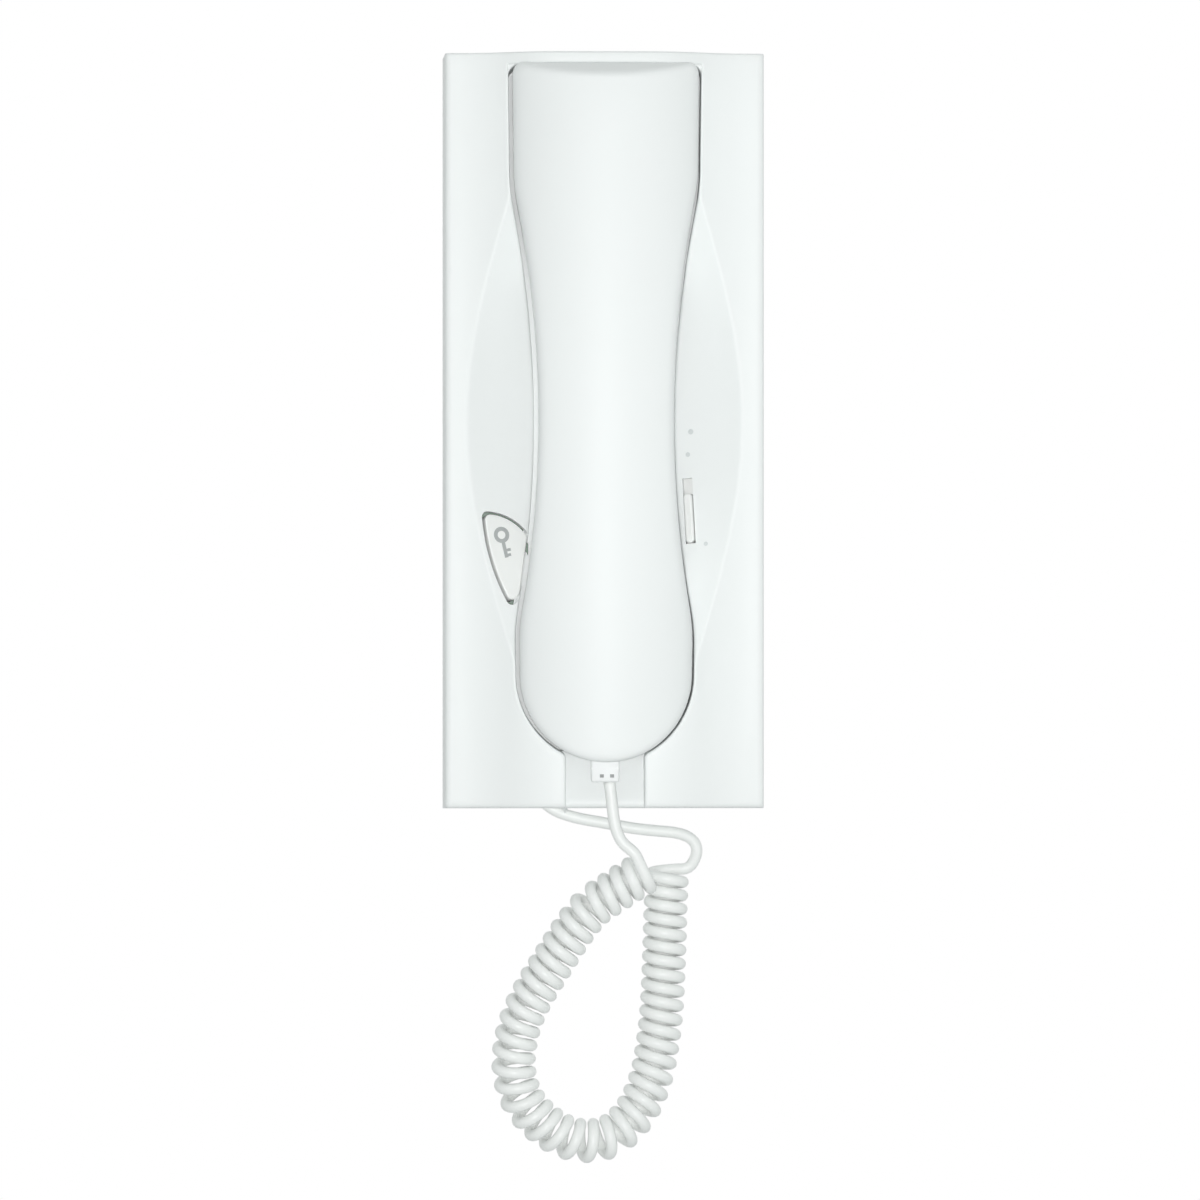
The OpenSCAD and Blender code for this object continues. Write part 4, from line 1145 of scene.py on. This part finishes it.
def dressNodes():
    slots = {p["node"]: p["material_slot"] for p in frame["record"]["subparts"]}
    for name, thing in nodes.items():
        if thing.hide_render:
            continue
        paint(thing, slotLooks[slots[name]])
        if name in nodeEdges:
            weld = thing.modifiers.new("weld", "WELD")
            weld.merge_threshold = nodeBevel["weld"] * mm
            addBevel(thing, nodeEdges[name], nodeBevel["angle"], nodeBevel["segments"])


dressNodes()
print("stage: nodes")


# floor and light; rays from the camera, and those that a gloss sends on, meet plain white
def whiteRays(tree):
    path = tree.nodes.new("ShaderNodeLightPath")
    seen = path.outputs["Is Camera Ray"]
    for kind in ("Is Glossy Ray", "Is Transmission Ray"):
        either = tree.nodes.new("ShaderNodeMath")
        either.operation = "MAXIMUM"
        tree.links.new(seen, either.inputs[0])
        tree.links.new(path.outputs[kind], either.inputs[1])
        seen = either.outputs["Value"]
    return seen


floorFacts = {"half": 1.6, "height": -0.26, "colour": (0.66, 0.67, 0.67, 1)}
worldFacts = {"tint": (0.95, 1.0, 0.99), "toward": (0.34, 0.74, -0.1), "low": 0.28, "high": 0.94}
lampFacts = {
    "power": 6.6, "size": 0.03, "tint": (1, 1, 1), "place": (-0.0225, -1.24, -0.0466), "aim": (0, 0, -0.0466),
}


def addFloor(facts):
    shape = bmesh.new()
    bmesh.ops.create_grid(shape, x_segments=1, y_segments=1, size=facts["half"])
    floor = newObject("floor", shape)
    floor.location = (0, 0, facts["height"])
    material = bpy.data.materials.new("paleFloor")
    material.use_nodes = True
    tree = material.node_tree
    tree.nodes.clear()
    out = tree.nodes.new("ShaderNodeOutputMaterial")
    mix = tree.nodes.new("ShaderNodeMixShader")
    glow = tree.nodes.new("ShaderNodeEmission")
    glow.inputs["Color"].default_value = (1, 1, 1, 1)
    plain = tree.nodes.new("ShaderNodeBsdfDiffuse")
    plain.inputs["Color"].default_value = facts["colour"]
    tree.links.new(whiteRays(tree), mix.inputs["Fac"])
    tree.links.new(plain.outputs["BSDF"], mix.inputs[1])
    tree.links.new(glow.outputs["Emission"], mix.inputs[2])
    tree.links.new(mix.outputs["Shader"], out.inputs["Surface"])
    floor.data.materials.append(material)


def addWorld(facts):
    world = bpy.data.worlds.new("studio")
    scene.world = world
    world.use_nodes = True
    tree = world.node_tree
    tree.nodes.clear()
    out = tree.nodes.new("ShaderNodeOutputWorld")
    mix = tree.nodes.new("ShaderNodeMixShader")
    seen = tree.nodes.new("ShaderNodeBackground")
    seen.inputs["Color"].default_value = (1, 1, 1, 1)
    light = tree.nodes.new("ShaderNodeBackground")
    light.inputs["Color"].default_value = (*facts["tint"], 1)
    place = tree.nodes.new("ShaderNodeTexCoord")
    dot = tree.nodes.new("ShaderNodeVectorMath")
    dot.operation = "DOT_PRODUCT"
    dot.inputs[1].default_value = facts["toward"]
    span = tree.nodes.new("ShaderNodeMapRange")
    span.inputs["From Min"].default_value = -1
    span.inputs["From Max"].default_value = 1
    span.inputs["To Min"].default_value = facts["low"]
    span.inputs["To Max"].default_value = facts["high"]
    tree.links.new(place.outputs["Generated"], dot.inputs[0])
    tree.links.new(dot.outputs["Value"], span.inputs["Value"])
    tree.links.new(span.outputs["Result"], light.inputs["Strength"])
    tree.links.new(whiteRays(tree), mix.inputs["Fac"])
    tree.links.new(light.outputs["Background"], mix.inputs[1])
    tree.links.new(seen.outputs["Background"], mix.inputs[2])
    tree.links.new(mix.outputs["Shader"], out.inputs["Surface"])


def addLamp(name, facts):
    data = bpy.data.lights.new(name, "AREA")
    data.energy = facts["power"]
    data.size = facts["size"]
    data.color = facts["tint"]
    lamp = bpy.data.objects.new(name, data)
    lamp.location = facts["place"]
    lamp.rotation_euler = (Vector(facts["aim"]) - Vector(facts["place"])).to_track_quat("-Z", "Y").to_euler()
    scene.collection.objects.link(lamp)


scene.view_settings.view_transform = "Standard"
addFloor(floorFacts)
addWorld(worldFacts)
addLamp("frontLamp", lampFacts)
print("stage: light")

bpy.context.view_layer.update()
